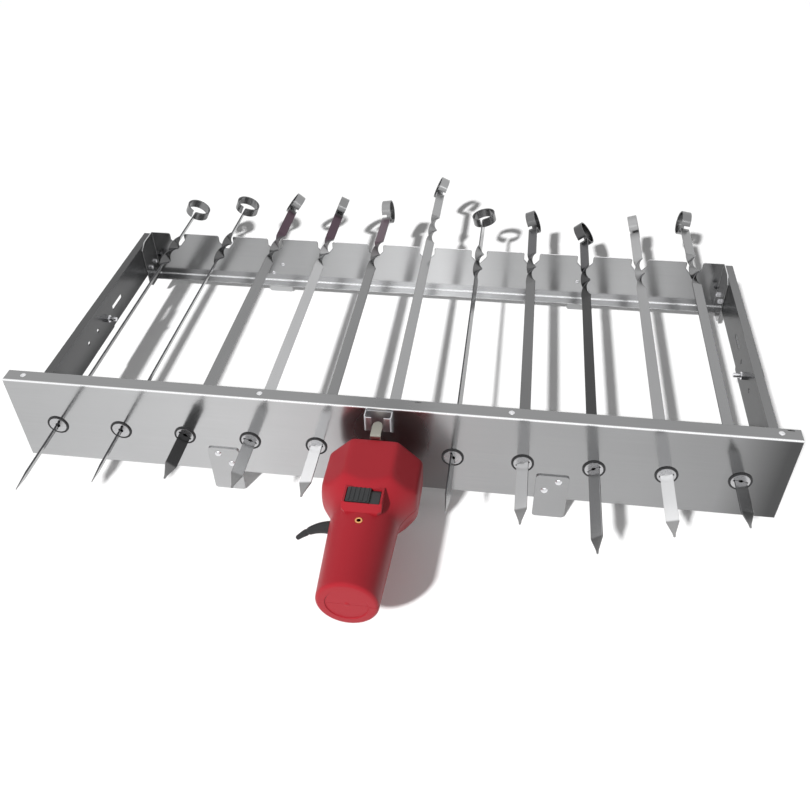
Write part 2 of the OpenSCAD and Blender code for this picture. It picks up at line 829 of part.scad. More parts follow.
module housing_holes() {
    translate([-motor_offset, 0, 0]) along_y(head_y - housing_wall - over)
        cylinder(d = gearbox_nose_d + fit, h = housing_wall + 2 * over);
    translate([-head_half_w, boot_y, 0]) rotate([0, 90, 0])
        cylinder(d = boot_d + fit, h = head_half_w - 25);
    screw_posts(housing_screw_d + fit, -head_top, post_top);
    screw_posts(housing_head_d, -head_top - over, head_sink);
    translate([0, head_y + over, tongue_screw_z - axis_h]) rotate([90, 0, 0])
        cylinder(d = 3 + fit, h = housing_wall + 2 * over);
}

module half_space(low, high) {
    translate([-head_r, end_y - over, low]) cube([2 * head_r, motor_len + 2 * over, high - low]);
}

module housing_upper() {
    color(red) on_motor() difference() {
        union() {
            intersection() {
                housing_shell();
                half_space(seam / 2, head_r);
            }
            bezel();
        }
        translate([-switch_w / 2, switch_mid_y - switch_l / 2, switch_top - switch_depth - slack])
            cube([switch_w, switch_l, head_r]);
        translate([0, jack_y, bezel_bottom - 3]) cylinder(d = jack_d + fit, h = 10);
        housing_holes();
    }
}

module housing_lower() {
    color(red) on_motor() difference() {
        intersection() {
            housing_shell();
            half_space(-head_r, -seam / 2);
        }
        housing_holes();
    }
}

module housing_screws() {
    color(steel) on_motor() {
        screw_posts(housing_screw_d, head_sink - over, post_top - over);
        screw_posts(housing_head_d - 0.6, head_sink - 2, head_sink);
    }
}

module switch_body() {
    w = switch_w - 2 * slack;
    l = switch_l - 2 * slack;
    color(black) on_motor() translate([0, switch_mid_y, 0]) difference() {
        translate([-w / 2, -l / 2, switch_top - switch_depth]) cube([w, l, switch_depth]);
        translate([knob_from + (knob_w - stem_w) / 2 - slack, -stem_l / 2 - slack, switch_top - stem_h - slack])
            cube([stem_w + knob_travel + 2 * slack, stem_l + 2 * slack, stem_h + slack + over]);
    }
}

module switch_knob() {
    l = switch_l - 1;
    rib = knob_w / knob_ribs;
    base = switch_top + slack;
    color(black) on_motor() translate([knob_from, switch_mid_y, base]) {
        translate([0, -l / 2, 0]) cube([knob_w, l, knob_h - 1]);
        for (i = [0:knob_ribs - 1]) translate([i * rib + rib * 0.2, -l / 2, knob_h - 1 - 0.1])
            rotate([90, 0, 0]) mirror([0, 0, 1]) linear_extrude(l)
                polygon([[0, 0], [rib * 0.6, 0], [rib * 0.45, 1.1], [rib * 0.15, 1.1]]);
        translate([(knob_w - stem_w) / 2, -stem_l / 2, -stem_h]) cube([stem_w, stem_l, stem_h + 0.1]);
    }
}

module jack_ring() {
    surface = taper_at(jack_y);
    color(brass) on_motor() translate([0, jack_y, surface - 4]) difference() {
        union() {
            cylinder(d = jack_d, h = 4.7);
            cylinder(d = jack_d - 1, h = 4.9);
        }
        translate([0, 0, -over]) cylinder(d = jack_hole_d, h = 8);
    }
}

// Radius of the grip at y
function taper_at(y) = grip_r + (grip_end_r - grip_r) * (y - taper_to) / (end_y + rim_r - taper_to);

// The boot bends down and forward, thins towards its end and has one groove.
function boot_bend(t) = [-boot_len * t, -6 * t * t, -16 * t * t];
function boot_r(t) = (boot_d / 2 - 4.8 * t) * (abs(t - 0.66) < 0.05 ? 0.8 : 1);

module cord_boot() {
    root = [-taper_at(boot_y) + 1, boot_y, 0];
    steps = [for (i = [0:boot_rings]) i / boot_rings];
    ring = function (t) let (axis = unit(boot_bend(t + 0.01) - boot_bend(t)),
                             across = unit(cross(axis, [0, 0, 1])), up = cross(across, axis))
        [for (j = [0:boot_sides - 1]) root + boot_bend(t)
            + boot_r(t) * (across * cos(360 * j / boot_sides) + up * sin(360 * j / boot_sides))];
    points = [for (t = steps) each ring(t)];
    last = boot_rings * boot_sides;
    faces = concat(
        [[for (j = [boot_sides - 1:-1:0]) j]],
        [for (i = [0:boot_rings - 1], j = [0:boot_sides - 1])
            let (a = i * boot_sides + j, b = i * boot_sides + (j + 1) % boot_sides)
            [a, b, b + boot_sides, a + boot_sides]],
        [[for (j = [0:boot_sides - 1]) last + j]]);
    color(black) on_motor() {
        polyhedron(points, faces);
        translate(root) rotate([0, 90, 0]) cylinder(d = boot_d, h = 5);
    }
}

module motor_core() {
    face = head_y - housing_wall - 5 - gearbox_len;
    color(dull_steel) on_motor() rotate([-90, 0, 0]) {
        translate([0, 0, face - core_neck]) cylinder(r = 12, h = core_neck);
        translate([0, 0, face - core_neck - core_len]) cylinder(r = core_r, h = core_len);
        translate([0, 0, face - core_neck - core_len - 6]) cylinder(r = 8, h = 6);
    }
}

module gearbox() {
    wall_in = head_y - housing_wall;
    body_to = wall_in - 5;
    bore_from = body_to - gearbox_len / 2;
    color(dull_steel) on_motor() difference() {
        union() {
            along_y(body_to - gearbox_len) cylinder(r = gearbox_r, h = gearbox_len);
            translate([-motor_offset, 0, 0]) {
                along_y(body_to) cylinder(r = 20, h = wall_in - end_play - body_to);
                along_y(body_to) cylinder(d = gearbox_nose_d, h = head_y - body_to);
            }
        }
        translate([-motor_offset, 0, 0]) along_y(bore_from)
            cylinder(d = shaft_d + fit, h = head_y - bore_from + over);
    }
}

// A strip on the back of the head, bent over to the rear; its end is round.
module hanger_tongue() {
    z = tongue_top - axis_h;
    y1 = head_y + tongue_reach;
    color(ivory) on_motor() difference() {
        union() {
            translate([-tongue_w / 2, head_y, z - tongue_leg]) cube([tongue_w, tongue_t, tongue_leg]);
            translate([-tongue_w / 2, head_y, z - tongue_t])
                cube([tongue_w, tongue_reach - tongue_w / 2, tongue_t]);
            translate([0, y1 - tongue_w / 2, z - tongue_t]) cylinder(d = tongue_w, h = tongue_t);
        }
        translate([0, head_y - over, tongue_screw_z - axis_h]) rotate([-90, 0, 0])
            cylinder(d = 3 + fit, h = tongue_t + 2 * over);
    }
}

// A round shaft with a flat key and a thin nose that enter the middle bush
module output_shaft() {
    from = head_y - housing_wall - 5 - gearbox_len / 2 + end_play;
    color(steel) placed() at_station(driven) turned(driven) {
        along_y(from) cylinder(d = shaft_d, h = key_from - from);
        translate([-key_w / 2, key_from - 0.5, -key_t / 2]) cube([key_w, key_to - key_from + 0.5, key_t]);
        along_y(key_from - 0.5) cylinder(d = nose_d, h = key_to - key_from + 0.5);
    }
}

for (k = [1:stations]) bush(k);
for (k = [1:stations]) gear(k);
for (k = [1:stations]) skewer(k);
front_panel();
back_cover();
box_screws();
bearings();
front_side_left();
front_side_right();
slot_bolts();
front_brackets();
panel_bolts();
hanger_bracket();
rear_panel();
rear_side_left();
rear_side_right();
corner_bolts();
rear_brackets();
rear_bracket_bolts();
housing_upper();
housing_lower();
housing_screws();
switch_body();
cord_boot();
jack_ring();
motor_core();
gearbox();
hanger_tongue();
output_shaft();
switch_knob();
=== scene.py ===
# %% [markdown]
# # An electric skewer grill, dressed for a studio picture
#
# The grill is a long folded box of stainless steel with eleven round bushes in its face. A
# flat skewer passes through each bush, and a red motor unit turns the middle one. A frame of
# side plates and a notched rear panel carries the skewers' handles. The construction comes
# ready from the CAD frame, in metres. This lesson gives it the finish of the real thing:
# polished sheet, rolled rings, moulded plastic and a quiet studio around it.

# %% Load the frame
import math

import bmesh
import bpy
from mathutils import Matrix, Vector


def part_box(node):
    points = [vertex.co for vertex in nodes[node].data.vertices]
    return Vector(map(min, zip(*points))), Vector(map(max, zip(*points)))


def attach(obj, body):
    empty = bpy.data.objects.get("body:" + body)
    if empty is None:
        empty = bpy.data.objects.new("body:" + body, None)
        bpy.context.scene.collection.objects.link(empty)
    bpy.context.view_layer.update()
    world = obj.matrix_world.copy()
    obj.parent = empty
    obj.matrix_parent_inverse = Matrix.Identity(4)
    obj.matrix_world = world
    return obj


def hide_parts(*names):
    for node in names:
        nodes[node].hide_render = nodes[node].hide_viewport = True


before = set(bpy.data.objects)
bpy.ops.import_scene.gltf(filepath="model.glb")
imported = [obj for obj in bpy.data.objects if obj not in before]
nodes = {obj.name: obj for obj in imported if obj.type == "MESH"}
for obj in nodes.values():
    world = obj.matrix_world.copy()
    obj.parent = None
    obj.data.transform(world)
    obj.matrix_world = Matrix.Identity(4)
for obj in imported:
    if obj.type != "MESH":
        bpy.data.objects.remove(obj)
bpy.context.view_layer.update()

# %% [markdown]
# The pieces were drawn from the middle of the row, the front face of the box and its lower
# edge, in millimetres. Every place below is given in that same system, and `place` turns it
# into Blender's metres. The corner of the front panel in the frame says where it lies.

# %% Places in the object's own millimetres
MM = 0.001
panel_low, panel_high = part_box("front_panel")
ROW_START = Vector((0.0, panel_low.y, panel_low.z))


def place(x, y, z):
    """A point given in millimetres from the row's middle, the box's face and its lower edge."""
    return ROW_START + Vector((x, y, z)) * MM


STATIONS = 11
DRIVEN = 6
PITCH = 80.0
AXIS_Z = 54.0
SLOT_ANGLE = [63, 66, -39, -24, 9, -24, 105, 24, 39, 18, -9]
TIP_OUT = [109, 88, 73, 78, 82, -10, 85, 93, 123, 91, 69]


def station_x(k):
    """The skewer's place along the row, for k from 1 to 11."""
    return (k - DRIVEN) * PITCH


print("row starts at", tuple(round(v, 4) for v in ROW_START))

# %% [markdown]
# ## The camera
#
# A lens of 38 mm looks down on the grill from the front, a little to the right of its middle.
# The camera is set first.

# %% Camera
LENS = 37.85
SENSOR = 36.0
FAR_LIMIT = 30.0
CAMERA_PLACE = (130.6, -698.6, 744.5)
CAMERA_TURN = (48.894, 0.933, 7.713)

camera_data = bpy.data.cameras.new("camera")
camera_data.lens = LENS
camera_data.sensor_width = SENSOR
camera_data.clip_end = FAR_LIMIT
camera = bpy.data.objects.new("camera", camera_data)
camera.location = place(*CAMERA_PLACE)
camera.rotation_euler = [math.radians(a) for a in CAMERA_TURN]
bpy.context.scene.collection.objects.link(camera)
bpy.context.scene.camera = camera
print("camera at", tuple(round(v, 3) for v in camera.location))

# %% [markdown]
# ## Shader maths as plain Python
#
# A finish is a little formula: brushed lines plus smudges plus a base value. Written with
# Math nodes by hand it is hard to read, so a small class wraps a socket and gives it the
# usual operators. Square brackets reach the other outputs of the same node. Numbers alone
# are still worked out by Python.

# %% A socket with operators


class Value:
    """A shader socket that can be added, subtracted and multiplied."""

    def __init__(self, maker, socket):
        self.maker = maker
        self.socket = socket

    def __getitem__(self, output):
        return Value(self.maker, self.socket.node.outputs[output])

    def math(self, operation, first, second):
        """A Math node on two values, one of which may be a plain number."""
        return self.maker.node("Math", {"operation": operation}, [first, second])

    def __add__(self, other):
        return self.math("ADD", self, other)

    def __radd__(self, other):
        return self.math("ADD", other, self)

    def __sub__(self, other):
        return self.math("SUBTRACT", self, other)

    def __rsub__(self, other):
        return self.math("SUBTRACT", other, self)

    def __mul__(self, other):
        return self.math("MULTIPLY", self, other)

    def __rmul__(self, other):
        return self.math("MULTIPLY", other, self)


# %% [markdown]
# Every other node comes from one method, `node`. It takes the node's type, then its settings,
# which are set first because they can change the sockets, and then the values or links of its
# inputs. The world and the materials have the same kind of node tree, so both can use it.

# %% One method for every node


def set_stops(ramp, stops):
    """Gives a colour ramp its (position, colour) stops."""
    while len(ramp.elements) < len(stops):
        ramp.elements.new(1.0)
    for stop, (spot, colour) in zip(ramp.elements, stops):
        stop.position = spot
        stop.color = (*colour, 1.0)


class NodeMaker:
    """A node tree, and the one method that adds nodes to it."""

    def __init__(self, tree):
        self.tree = tree

    def give(self, socket, value):
        """Links an input or sets it; a colour is given as red, green and blue."""
        if isinstance(value, Value):
            self.tree.links.new(value.socket, socket)
        elif socket.type == "RGBA":
            socket.default_value = (*value, 1.0)
        else:
            socket.default_value = value

    def node(self, kind, settings=None, values=(), output=0):
        """Adds a shader node, sets its settings, then its input values or links."""
        made = self.tree.nodes.new("ShaderNode" + kind)
        for key, value in (settings or {}).items():
            if key == "stops":
                set_stops(made.color_ramp, value)
            else:
                setattr(made, key, value)
        pairs = values.items() if isinstance(values, dict) else enumerate(values)
        for key, value in pairs:
            self.give(made.inputs[key], value)
        return Value(self, made.outputs[output]) if made.outputs else None

    def fade(self, value, start, end, low=0.0, high=1.0, curve="LINEAR"):
        """Low where the value is at start, high where it is at end, on a line or curve."""
        return self.node("MapRange", {"interpolation_type": curve},
                         {"Value": value, "From Min": start, "From Max": end,
                          "To Min": low, "To Max": high})

    def seen(self):
        """1 for what the camera, a reflection or clear plastic shows, 0 for lighting."""
        rays = self.node("LightPath")
        return rays["Is Camera Ray"] + rays["Is Glossy Ray"] + rays["Is Transmission Ray"]


# %% [markdown]
# A finish is a material with a Principled shader. It adds what most finishes need: noise at a
# real size, a blend of two colours, and a bump. Blender's Mix node has a set of sockets for
# each kind of value under the same names, so the ones for colours are picked by number.

# %% A finish
MIX_AMOUNT, MIX_FIRST, MIX_SECOND, MIX_COLOUR = 0, 6, 7, 2
EVEN = (1.0, 1.0, 1.0)


class Finish(NodeMaker):
    """One material: its node tree, and short ways to add to it."""

    def __init__(self, name, sockets):
        self.material = bpy.data.materials.new(name)
        self.material.use_nodes = True
        super().__init__(self.material.node_tree)
        self.shader = self.tree.nodes["Principled BSDF"]
        for key, value in sockets.items():
            self.set(key, value)

    def set(self, key, value):
        """Gives the shader's socket a number, a colour or a link."""
        self.give(self.shader.inputs[key], value)

    def noise(self, size, detail, stretch=EVEN):
        """Soft noise from 0 to 1 whose patches are about size metres wide."""
        scale = tuple(s / size for s in stretch)
        where = self.node("TexCoord", output="Object")
        spot = self.node("Mapping", {}, {"Vector": where, "Scale": scale})
        return self.node("TexNoise", {}, {"Vector": spot, "Scale": 1.0, "Detail": detail})

    def blend(self, amount, first, second):
        """Mixes two colours by a value from 0 to 1."""
        return self.node("Mix", {"data_type": "RGBA"},
                         {MIX_AMOUNT: amount, MIX_FIRST: first, MIX_SECOND: second}, MIX_COLOUR)

    def bump(self, height, strength, distance, round_edges=0.0):
        """Feeds a height into the normal, over edges that look round."""
        values = {"Strength": strength, "Distance": distance, "Height": height}
        if round_edges:
            values["Normal"] = self.node("Bevel", {"samples": 4}, {"Radius": round_edges})
        self.set("Normal", self.node("Bump", {}, values))


# %% [markdown]
# ## Stainless sheet
#
# The box, the plates and the feet are cut from polished stainless sheet. Such sheet mirrors
# what stands around it, so its tone drifts along the row, and upper and outer faces differ
# from the walls. A plain studio has little to mirror, so these tones are painted reflections:
# colour ramps along the row hold them, with their own ramps for upper faces and one tone for
# outer faces. The roughness is low and drifts with broad smudges, and a very weak bump of
# long lines stands for the rolling. A painted highlight draws each fold as a thin bright line,
# and a painted shadow and reflection of the motor's head dims the panel behind it. The
# normal is rounded at the edges, as it is on a real fold.

# %% Painted reflection tones of the sheet
LEFT_END, RIGHT_END = -450.0, 450.0
UPPER_FACE = (0.5, 0.8)
OUTER_FACE = (0.12, 0.16)


def grey(tone):
    """A barely cool grey."""
    return (tone * 0.985, tone * 0.99, tone)


def tone_ramp(finish, along, pairs):
    """A colour ramp along the row from (x in mm, tone) pairs."""
    stops = [((x - LEFT_END) / (RIGHT_END - LEFT_END), grey(tone)) for x, tone in pairs]
    return finish.node("ValToRGB", {"stops": stops}, [along])


def painted_reflection_tones(finish, where, walls, upper, outer):
    """Painted reflections: tones of the walls and the upper faces, and one for faces that look
    outwards.
    """
    x = finish.node("SeparateXYZ", {}, {"Vector": where}, "X")
    along = finish.fade(x, place(LEFT_END, 0, 0).x, place(RIGHT_END, 0, 0).x)
    normal = finish.node("TexCoord", output="Normal")
    tilt = finish.node("SeparateXYZ", {}, {"Vector": normal}, "Z")
    steel = finish.blend(finish.fade(tilt, *UPPER_FACE),
                         tone_ramp(finish, along, walls), tone_ramp(finish, along, upper))
    if outer:
        facing = finish.node("VectorMath", {"operation": "DOT_PRODUCT"}, [normal, where], "Value")
        steel = finish.blend(finish.fade(facing, *OUTER_FACE), steel, grey(outer))
    return steel


print("sheet tones run from", LEFT_END, "to", RIGHT_END, "mm")

# %% Painted shadow behind the head and painted highlight on folds
HEAD_SHADOW_AT = (8, 0, 80)
HEAD_SHADOW_REACH = (0.03, 0.085)
HEAD_SHADOW_TONE = 0.06
FOLD_REACH = (0.0008, 0.0022)
FOLD_HIGHLIGHT_TONE = 0.97


def painted_head_shadow(finish, where, most):
    """Painted shadow and reflection of the head: the most behind the motor's head, falling to 0
    around it.
    """
    far = finish.node("VectorMath", {"operation": "DISTANCE"}, [where, place(*HEAD_SHADOW_AT)], "Value")
    return finish.fade(far, *HEAD_SHADOW_REACH, most, 0.0, "SMOOTHSTEP")


def painted_fold_highlight(finish, where, fold):
    """Painted highlight: 1 on a fold that runs along the row at (y, z), and 0 a little away from
    it.
    """
    corner = place(0, *fold)
    parts = finish.node("SeparateXYZ", {}, {"Vector": where})
    across = finish.node("CombineXYZ", {},
                         {"Y": parts["Y"] - corner.y, "Z": parts["Z"] - corner.z})
    gap = finish.node("VectorMath", {"operation": "LENGTH"}, [across], "Value")
    return finish.fade(gap, *FOLD_REACH, 1.0, 0.0, "SMOOTHSTEP")


print("dim patch at", tuple(round(v, 3) for v in place(*HEAD_SHADOW_AT)))

# %% Sheet steel
ALONG_X = (0.02, 1.0, 1.0)
ALONG_Y = (1.0, 0.02, 1.0)
SHEET_SHADES = (0.88, 1.12)


def sheet_steel(name, walls, upper, grain, roughness, edge=0.0009, tint=1.0, patch=0.0,
                fold=None, outer=None):
    """Polished sheet; walls and upper hold (x in mm, tone) pairs of painted reflection."""
    finish = Finish(name, {"Metallic": 1.0, "Specular Tint": (tint, tint, tint)})
    smudge = finish.noise(0.16, 3.0)
    lines = finish.noise(0.0016, 1.0, grain)
    marks = finish.noise(0.03, 4.0)
    where = finish.node("TexCoord", output="Object")
    steel = painted_reflection_tones(finish, where, walls, upper, outer)
    dark, light = [finish.node("VectorMath", {"operation": "SCALE"},
                               {"Vector": steel, "Scale": share}) for share in SHEET_SHADES]
    smudges_and_painted_light = finish.blend(smudge * 0.7 + lines * 0.3, dark, light)
    rough = roughness + 0.07 * smudge + 0.05 * marks
    # Painted shadow and reflection of the motor's head: the panel goes dark and dull behind it.
    if patch:
        near = painted_head_shadow(finish, where, patch)
        smudges_and_painted_light = finish.blend(near, smudges_and_painted_light, grey(HEAD_SHADOW_TONE))
        rough = rough + 0.5 * near
    # Painted highlight: a thin bright line along the fold.
    if fold:
        smudges_and_painted_light = finish.blend(painted_fold_highlight(finish, where, fold), smudges_and_painted_light, grey(FOLD_HIGHLIGHT_TONE))
    finish.set("Base Color", smudges_and_painted_light)
    finish.set("Roughness", rough)
    finish.bump(lines + marks * 0.6, 0.05, 0.0004, edge)
    return finish.material


# %% The four sheets
SHEET = 1.2
FRONT_FOLD = (0.0, (panel_high.z - panel_low.z) / MM)
rear_low, rear_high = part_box("rear_panel")
REAR_FOLD = ((rear_high.y - ROW_START.y) / MM - SHEET, (rear_low.z - ROW_START.z) / MM + SHEET)

# The tone lists are painted reflections; the panel also gets the painted shadow behind the head
# and a painted highlight on its fold.
panel_steel = sheet_steel(
    "panel_steel",
    [(LEFT_END, 0.44), (-150, 0.50), (60, 0.36), (300, 0.32), (380, 0.28), (440, 0.08)],
    [(LEFT_END, 0.30), (RIGHT_END, 0.27)], ALONG_X, 0.07, 0.0012, patch=0.35, fold=FRONT_FOLD)
plate_steel = sheet_steel(
    "plate_steel",
    [(LEFT_END, 0.17), (-300, 0.17), (300, 0.16), (RIGHT_END, 0.16)],
    [(LEFT_END, 0.12), (-300, 0.12), (300, 0.22), (RIGHT_END, 0.22)],
    ALONG_Y, 0.18, tint=0.6, outer=0.36)
rear_steel = sheet_steel(
    "rear_steel",
    [(LEFT_END, 0.16), (-380, 0.32), (-200, 0.36), (20, 0.62), (130, 0.40), (330, 0.40),
     (430, 0.24)],
    [(LEFT_END, 0.7), (-200, 0.95), (RIGHT_END, 0.9)], ALONG_X, 0.12, 0.0016,
    fold=REAR_FOLD, outer=0.38)
foot_steel = sheet_steel(
    "foot_steel", [(LEFT_END, 0.50), (RIGHT_END, 0.27)], [(LEFT_END, 0.5), (RIGHT_END, 0.4)],
    ALONG_X, 0.16)
print("sheet finishes ready, folds at", FRONT_FOLD, REAR_FOLD)

# %% [markdown]
# ## Skewer steel
#
# The skewers are rolled flat steel. The blades and rings carry painted reflections and painted
# shade: each blade has one tone outside the box and another inside the frame, and each ring a
# tone of its own. The ground point is duller, and the handles' tones are partly a dark heat
# tint from the twisting, partly painted shade. A colour ramp along the skewer holds these
# tones, and broad smudges move between a darker and a lighter copy of it.

# %% Strip steel
SKEWER_LEN = 666.5
POINT_TONE = 0.26
POINT_EDGE = 22.0
INTO_BOX = (6, 14)
INTO_TWIST = (500, 545)
INTO_RING = (618, 626)
STRIP_SHADES = (0.9, 1.1)


def strip_ramp(finish, along, k, tones, share):
    """Tones along skewer k: point, blade outside, blade inside, handle and ring; the blade and
    ring tones are painted reflection and shade.
    """
    outside, inside, handle, ring = [tuple(min(1.0, c * share) for c in tone) for tone in tones]
    point = (POINT_TONE * share,) * 3
    box_from, box_to = [TIP_OUT[k - 1] + depth for depth in INTO_BOX]
    places = [(0, point), (POINT_EDGE - 1, point), (POINT_EDGE + 1, outside),
              (box_from, outside), (box_to, inside),
              (INTO_TWIST[0], inside), (INTO_TWIST[1], handle),
              (INTO_RING[0], handle), (INTO_RING[1], ring)]
    stops = [(max(0.0, s) / SKEWER_LEN, colour) for s, colour in places]
    return finish.node("ValToRGB", {"stops": stops}, [along])


def strip_steel(name, k, tones, metallic):
    """Flat steel of skewer k, with its tones from the point to the ring."""
    finish = Finish(name, {"Metallic": metallic})
    lines = finish.noise(0.0012, 1.0, ALONG_Y)
    smudge = finish.noise(0.05, 3.0, (1.0, 0.3, 1.0))
    where = finish.node("TexCoord", output="Object")
    y = finish.node("SeparateXYZ", {}, {"Vector": where}, "Y")
    tip = place(0, -TIP_OUT[k - 1], 0).y
    along = finish.fade(y, tip, tip + SKEWER_LEN * MM)
    dark, light = [strip_ramp(finish, along, k, tones, share) for share in STRIP_SHADES]
    finish.set("Base Color", finish.blend(smudge, dark, light))
    finish.set("Roughness", 0.15 + 0.08 * smudge + 0.05 * lines)
    finish.bump(lines, 0.08, 0.0003)
    return finish.material


# %% Tones of the eleven skewers
# The blade and ring tones are painted reflections and painted shade, outside the box and inside
# the frame. The handles are partly heat tint from the twisting, partly painted shade.
PLUM = (0.085, 0.052, 0.070)
DARK = (0.085, 0.085, 0.09)
METALLIC = [1.0, 1.0, 1.0, 1.0, 0.35, 1.0, 1.0, 0.6, 1.0, 0.35, 1.0]
OUTSIDE = [0.09, 0.09, 0.08, 0.42, 0.80, 0.50, 0.30, 0.62, 0.50, 0.70, 0.50]
INSIDE = [0.12, 0.12, 0.25, 0.48, 0.19, 0.36, 0.16, 0.14, 0.06, 0.29, 0.28]
HANDLE = [grey(0.10), grey(0.12), PLUM, PLUM, PLUM, grey(0.36), grey(0.40), DARK, DARK,
          grey(0.36), grey(0.32)]
RING = [0.22, 0.22, 0.30, 0.26, 0.24, 0.36, 0.22, 0.14, 0.12, 0.30, 0.24]
print("tones for", len(HANDLE), "skewers")

# %% [markdown]
# ## The other finishes
#
# Turned bushes, bright plated screws, black bearing plastic, the satin red shell of the
# motor, soft black rubber, brass, and the plain finishes of what lies inside. One function
# serves all the metals and one all the plastics, because only their numbers differ. Moulded
# plastic is never quite even, so a fine grain breaks its highlight.

# %% Small metal and plastic finishes


def metal(name, colour, roughness, size, edge=0.0):
    """A plain metal whose polish has patches of a size, with edges that look round, in metres."""
    finish = Finish(name, {"Metallic": 1.0})
    patch = finish.noise(size, 3.0)
    finish.set("Base Color", finish.blend(patch, tuple(c * 0.9 for c in colour), colour))
    finish.set("Roughness", roughness + 0.12 * patch)
    finish.bump(patch, 0.08, 0.0002, edge)
    return finish.material


def plastic(name, colour, roughness, grain=0.0008, depth=0.1, gloss=0.5):
    """Moulded plastic with a grain of a size and depth, and broad, barely seen flow marks."""
    finish = Finish(name, {"Specular IOR Level": gloss})
    fine = finish.noise(grain, 2.0)
    flow = finish.noise(0.06, 2.0)
    finish.set("Base Color", finish.blend(flow, tuple(c * 0.9 for c in colour), colour))
    finish.set("Roughness", roughness + 0.08 * fine + 0.06 * flow)
    finish.bump(fine, depth, 0.0002)
    return finish.material


# Painted shade: a very dark steel for the skewers' narrow sides draws the blades' dark edges.
shaded_strip_edge = metal("shaded_strip_edge", (0.07, 0.07, 0.075), 0.25, 0.003)
cut_end = metal("cut_end", (0.92, 0.92, 0.93), 0.3, 0.002)
bush_steel = metal("bush_steel", (0.50, 0.50, 0.51), 0.22, 0.003, 0.0003)
bolt_steel = metal("bolt_steel", (0.76, 0.76, 0.78), 0.10, 0.004, 0.0004)
hanger_steel = metal("hanger_steel", (0.66, 0.66, 0.68), 0.34, 0.01, 0.0007)
tongue_plate = metal("tongue_plate", (0.33, 0.32, 0.28), 0.30, 0.006, 0.0004)
socket_brass = metal("socket_brass", (0.72, 0.36, 0.15), 0.2, 0.002)
zinc_steel = metal("zinc_steel", (0.42, 0.43, 0.45), 0.35, 0.01)
bearing_black = plastic("bearing_black", (0.012, 0.012, 0.013), 0.42)
shell_red = plastic("shell_red", (0.30, 0.014, 0.022), 0.38, 0.0006, 0.12, gloss=0.25)
switch_black = plastic("switch_black", (0.010, 0.011, 0.012), 0.36, 0.0005, 0.15)
boot_black = plastic("boot_black", (0.012, 0.012, 0.013), 0.5, 0.0009, 0.3)
gear_white = plastic("gear_white", (0.70, 0.68, 0.60), 0.4)
print("finishes ready:", len(bpy.data.materials))

# %% Paint the pieces that keep their CAD shape


def paint(names, material):
    """Gives CAD pieces a finish."""
    for name in names:
        mesh = nodes[name].data
        mesh.materials.clear()
        mesh.materials.append(material)
    print(material.name, "on", len(names), "pieces")


each = range(1, STATIONS + 1)
paint([f"bush_{k}" for k in each], bush_steel)
paint([f"gear_{k}" for k in each], gear_white)
paint(["front_panel"], panel_steel)
paint(["front_side_left", "front_side_right", "rear_side_left", "rear_side_right"], plate_steel)
paint(["back_cover", "rear_panel"], rear_steel)
paint(["front_brackets", "rear_brackets"], foot_steel)
paint(["box_screws", "slot_bolts", "panel_bolts", "corner_bolts", "rear_bracket_bolts",
       "housing_screws", "output_shaft"], bolt_steel)
paint(["hanger_bracket"], hanger_steel)
paint(["hanger_tongue"], tongue_plate)
paint(["bearings"], bearing_black)
paint(["housing_upper", "housing_lower"], shell_red)
paint(["switch_body", "switch_knob"], switch_black)
paint(["cord_boot"], boot_black)
paint(["jack_ring"], socket_brass)
paint(["motor_core", "gearbox"], zinc_steel)

# %% [markdown]
# ## Making meshes
#
# Most pieces are either a profile swept along a path or a grid bent into shape. `new_piece`
# takes the points and faces, smooths what is smooth and keeps sharp what is sharp, and hands
# the piece to the body that carries it.

# %% Mesh helpers


def raw_mesh(name, points, faces):
    """A mesh object from points in the object's millimetres, its faces turned outwards."""
    mesh = bpy.data.meshes.new(name)
    mesh.from_pydata([place(*p) for p in points], [], faces)
    mesh.validate()
    made = bpy.data.objects.new(name, mesh)
    bpy.context.scene.collection.objects.link(made)
    work = bmesh.new()
    work.from_mesh(mesh)
    bmesh.ops.recalc_face_normals(work, faces=work.faces)
    work.to_mesh(mesh)
    work.free()
    return made


def finish_piece(piece, material, body, slot, stands_for, sharp=32.0):
    """Shading, finish and carrier of a piece that is ready."""
    mesh = piece.data
    mesh.materials.clear()
    mesh.materials.append(material)
    mesh.shade_smooth()
    mesh.set_sharp_from_angle(angle=math.radians(sharp))
    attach(piece, body)
    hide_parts(*stands_for)
    print(piece.name, "has", len(mesh.polygons), "faces")


def new_piece(name, points, faces, *details):
    """A piece from its points and faces; the details go on to finish_piece."""
    piece = raw_mesh(name, points, faces)
    finish_piece(piece, *details)
    return piece


def tube_faces(rings, around):
    """Faces of a tube of rings, each with the same number of points, and of its two ends."""
    faces = []
    for i in range(rings - 1):
        for j in range(around):
            a, b = i * around + j, i * around + (j + 1) % around
            faces.append((a, b, b + around, a + around))
    faces.append(tuple(range(around - 1, -1, -1)))
    faces.append(tuple((rings - 1) * around + j for j in range(around)))
    return faces


# %% [markdown]
# ## The skewers
#
# A real skewer is one flat strip: ground to a point, twisted once where the handle begins and
# rolled into a ring. Here a flat section with broken edges travels the same way. Along the
# blade it only moves on, in the twist it turns a full turn, and in the ring its path bends.

# %% Skewer sizes
BLADE_W, BLADE_T = 14.0, 2.0
EDGE_BREAK = 0.3
TIP_W, TIP_T = 0.9, 0.5
TIP_LEN, TIP_END_W = 1.2, 2.4
POINT_LEN = 22.0
POINT_T = 0.8
TWIST_FROM, TWIST_LEN = 468.0, 82.0
RING_CENTRE, RING_R = 648.0, 18.5
BEND_R = 3.0
BEND_CLEAR = 0.6
RING_GAP = 3.2
TWIST_LEAD, BEND_LEAD = 8, 6
TWIST_STEPS, RING_STEPS, BEND_STEPS, POINT_STEPS = 72, 72, 8, 4


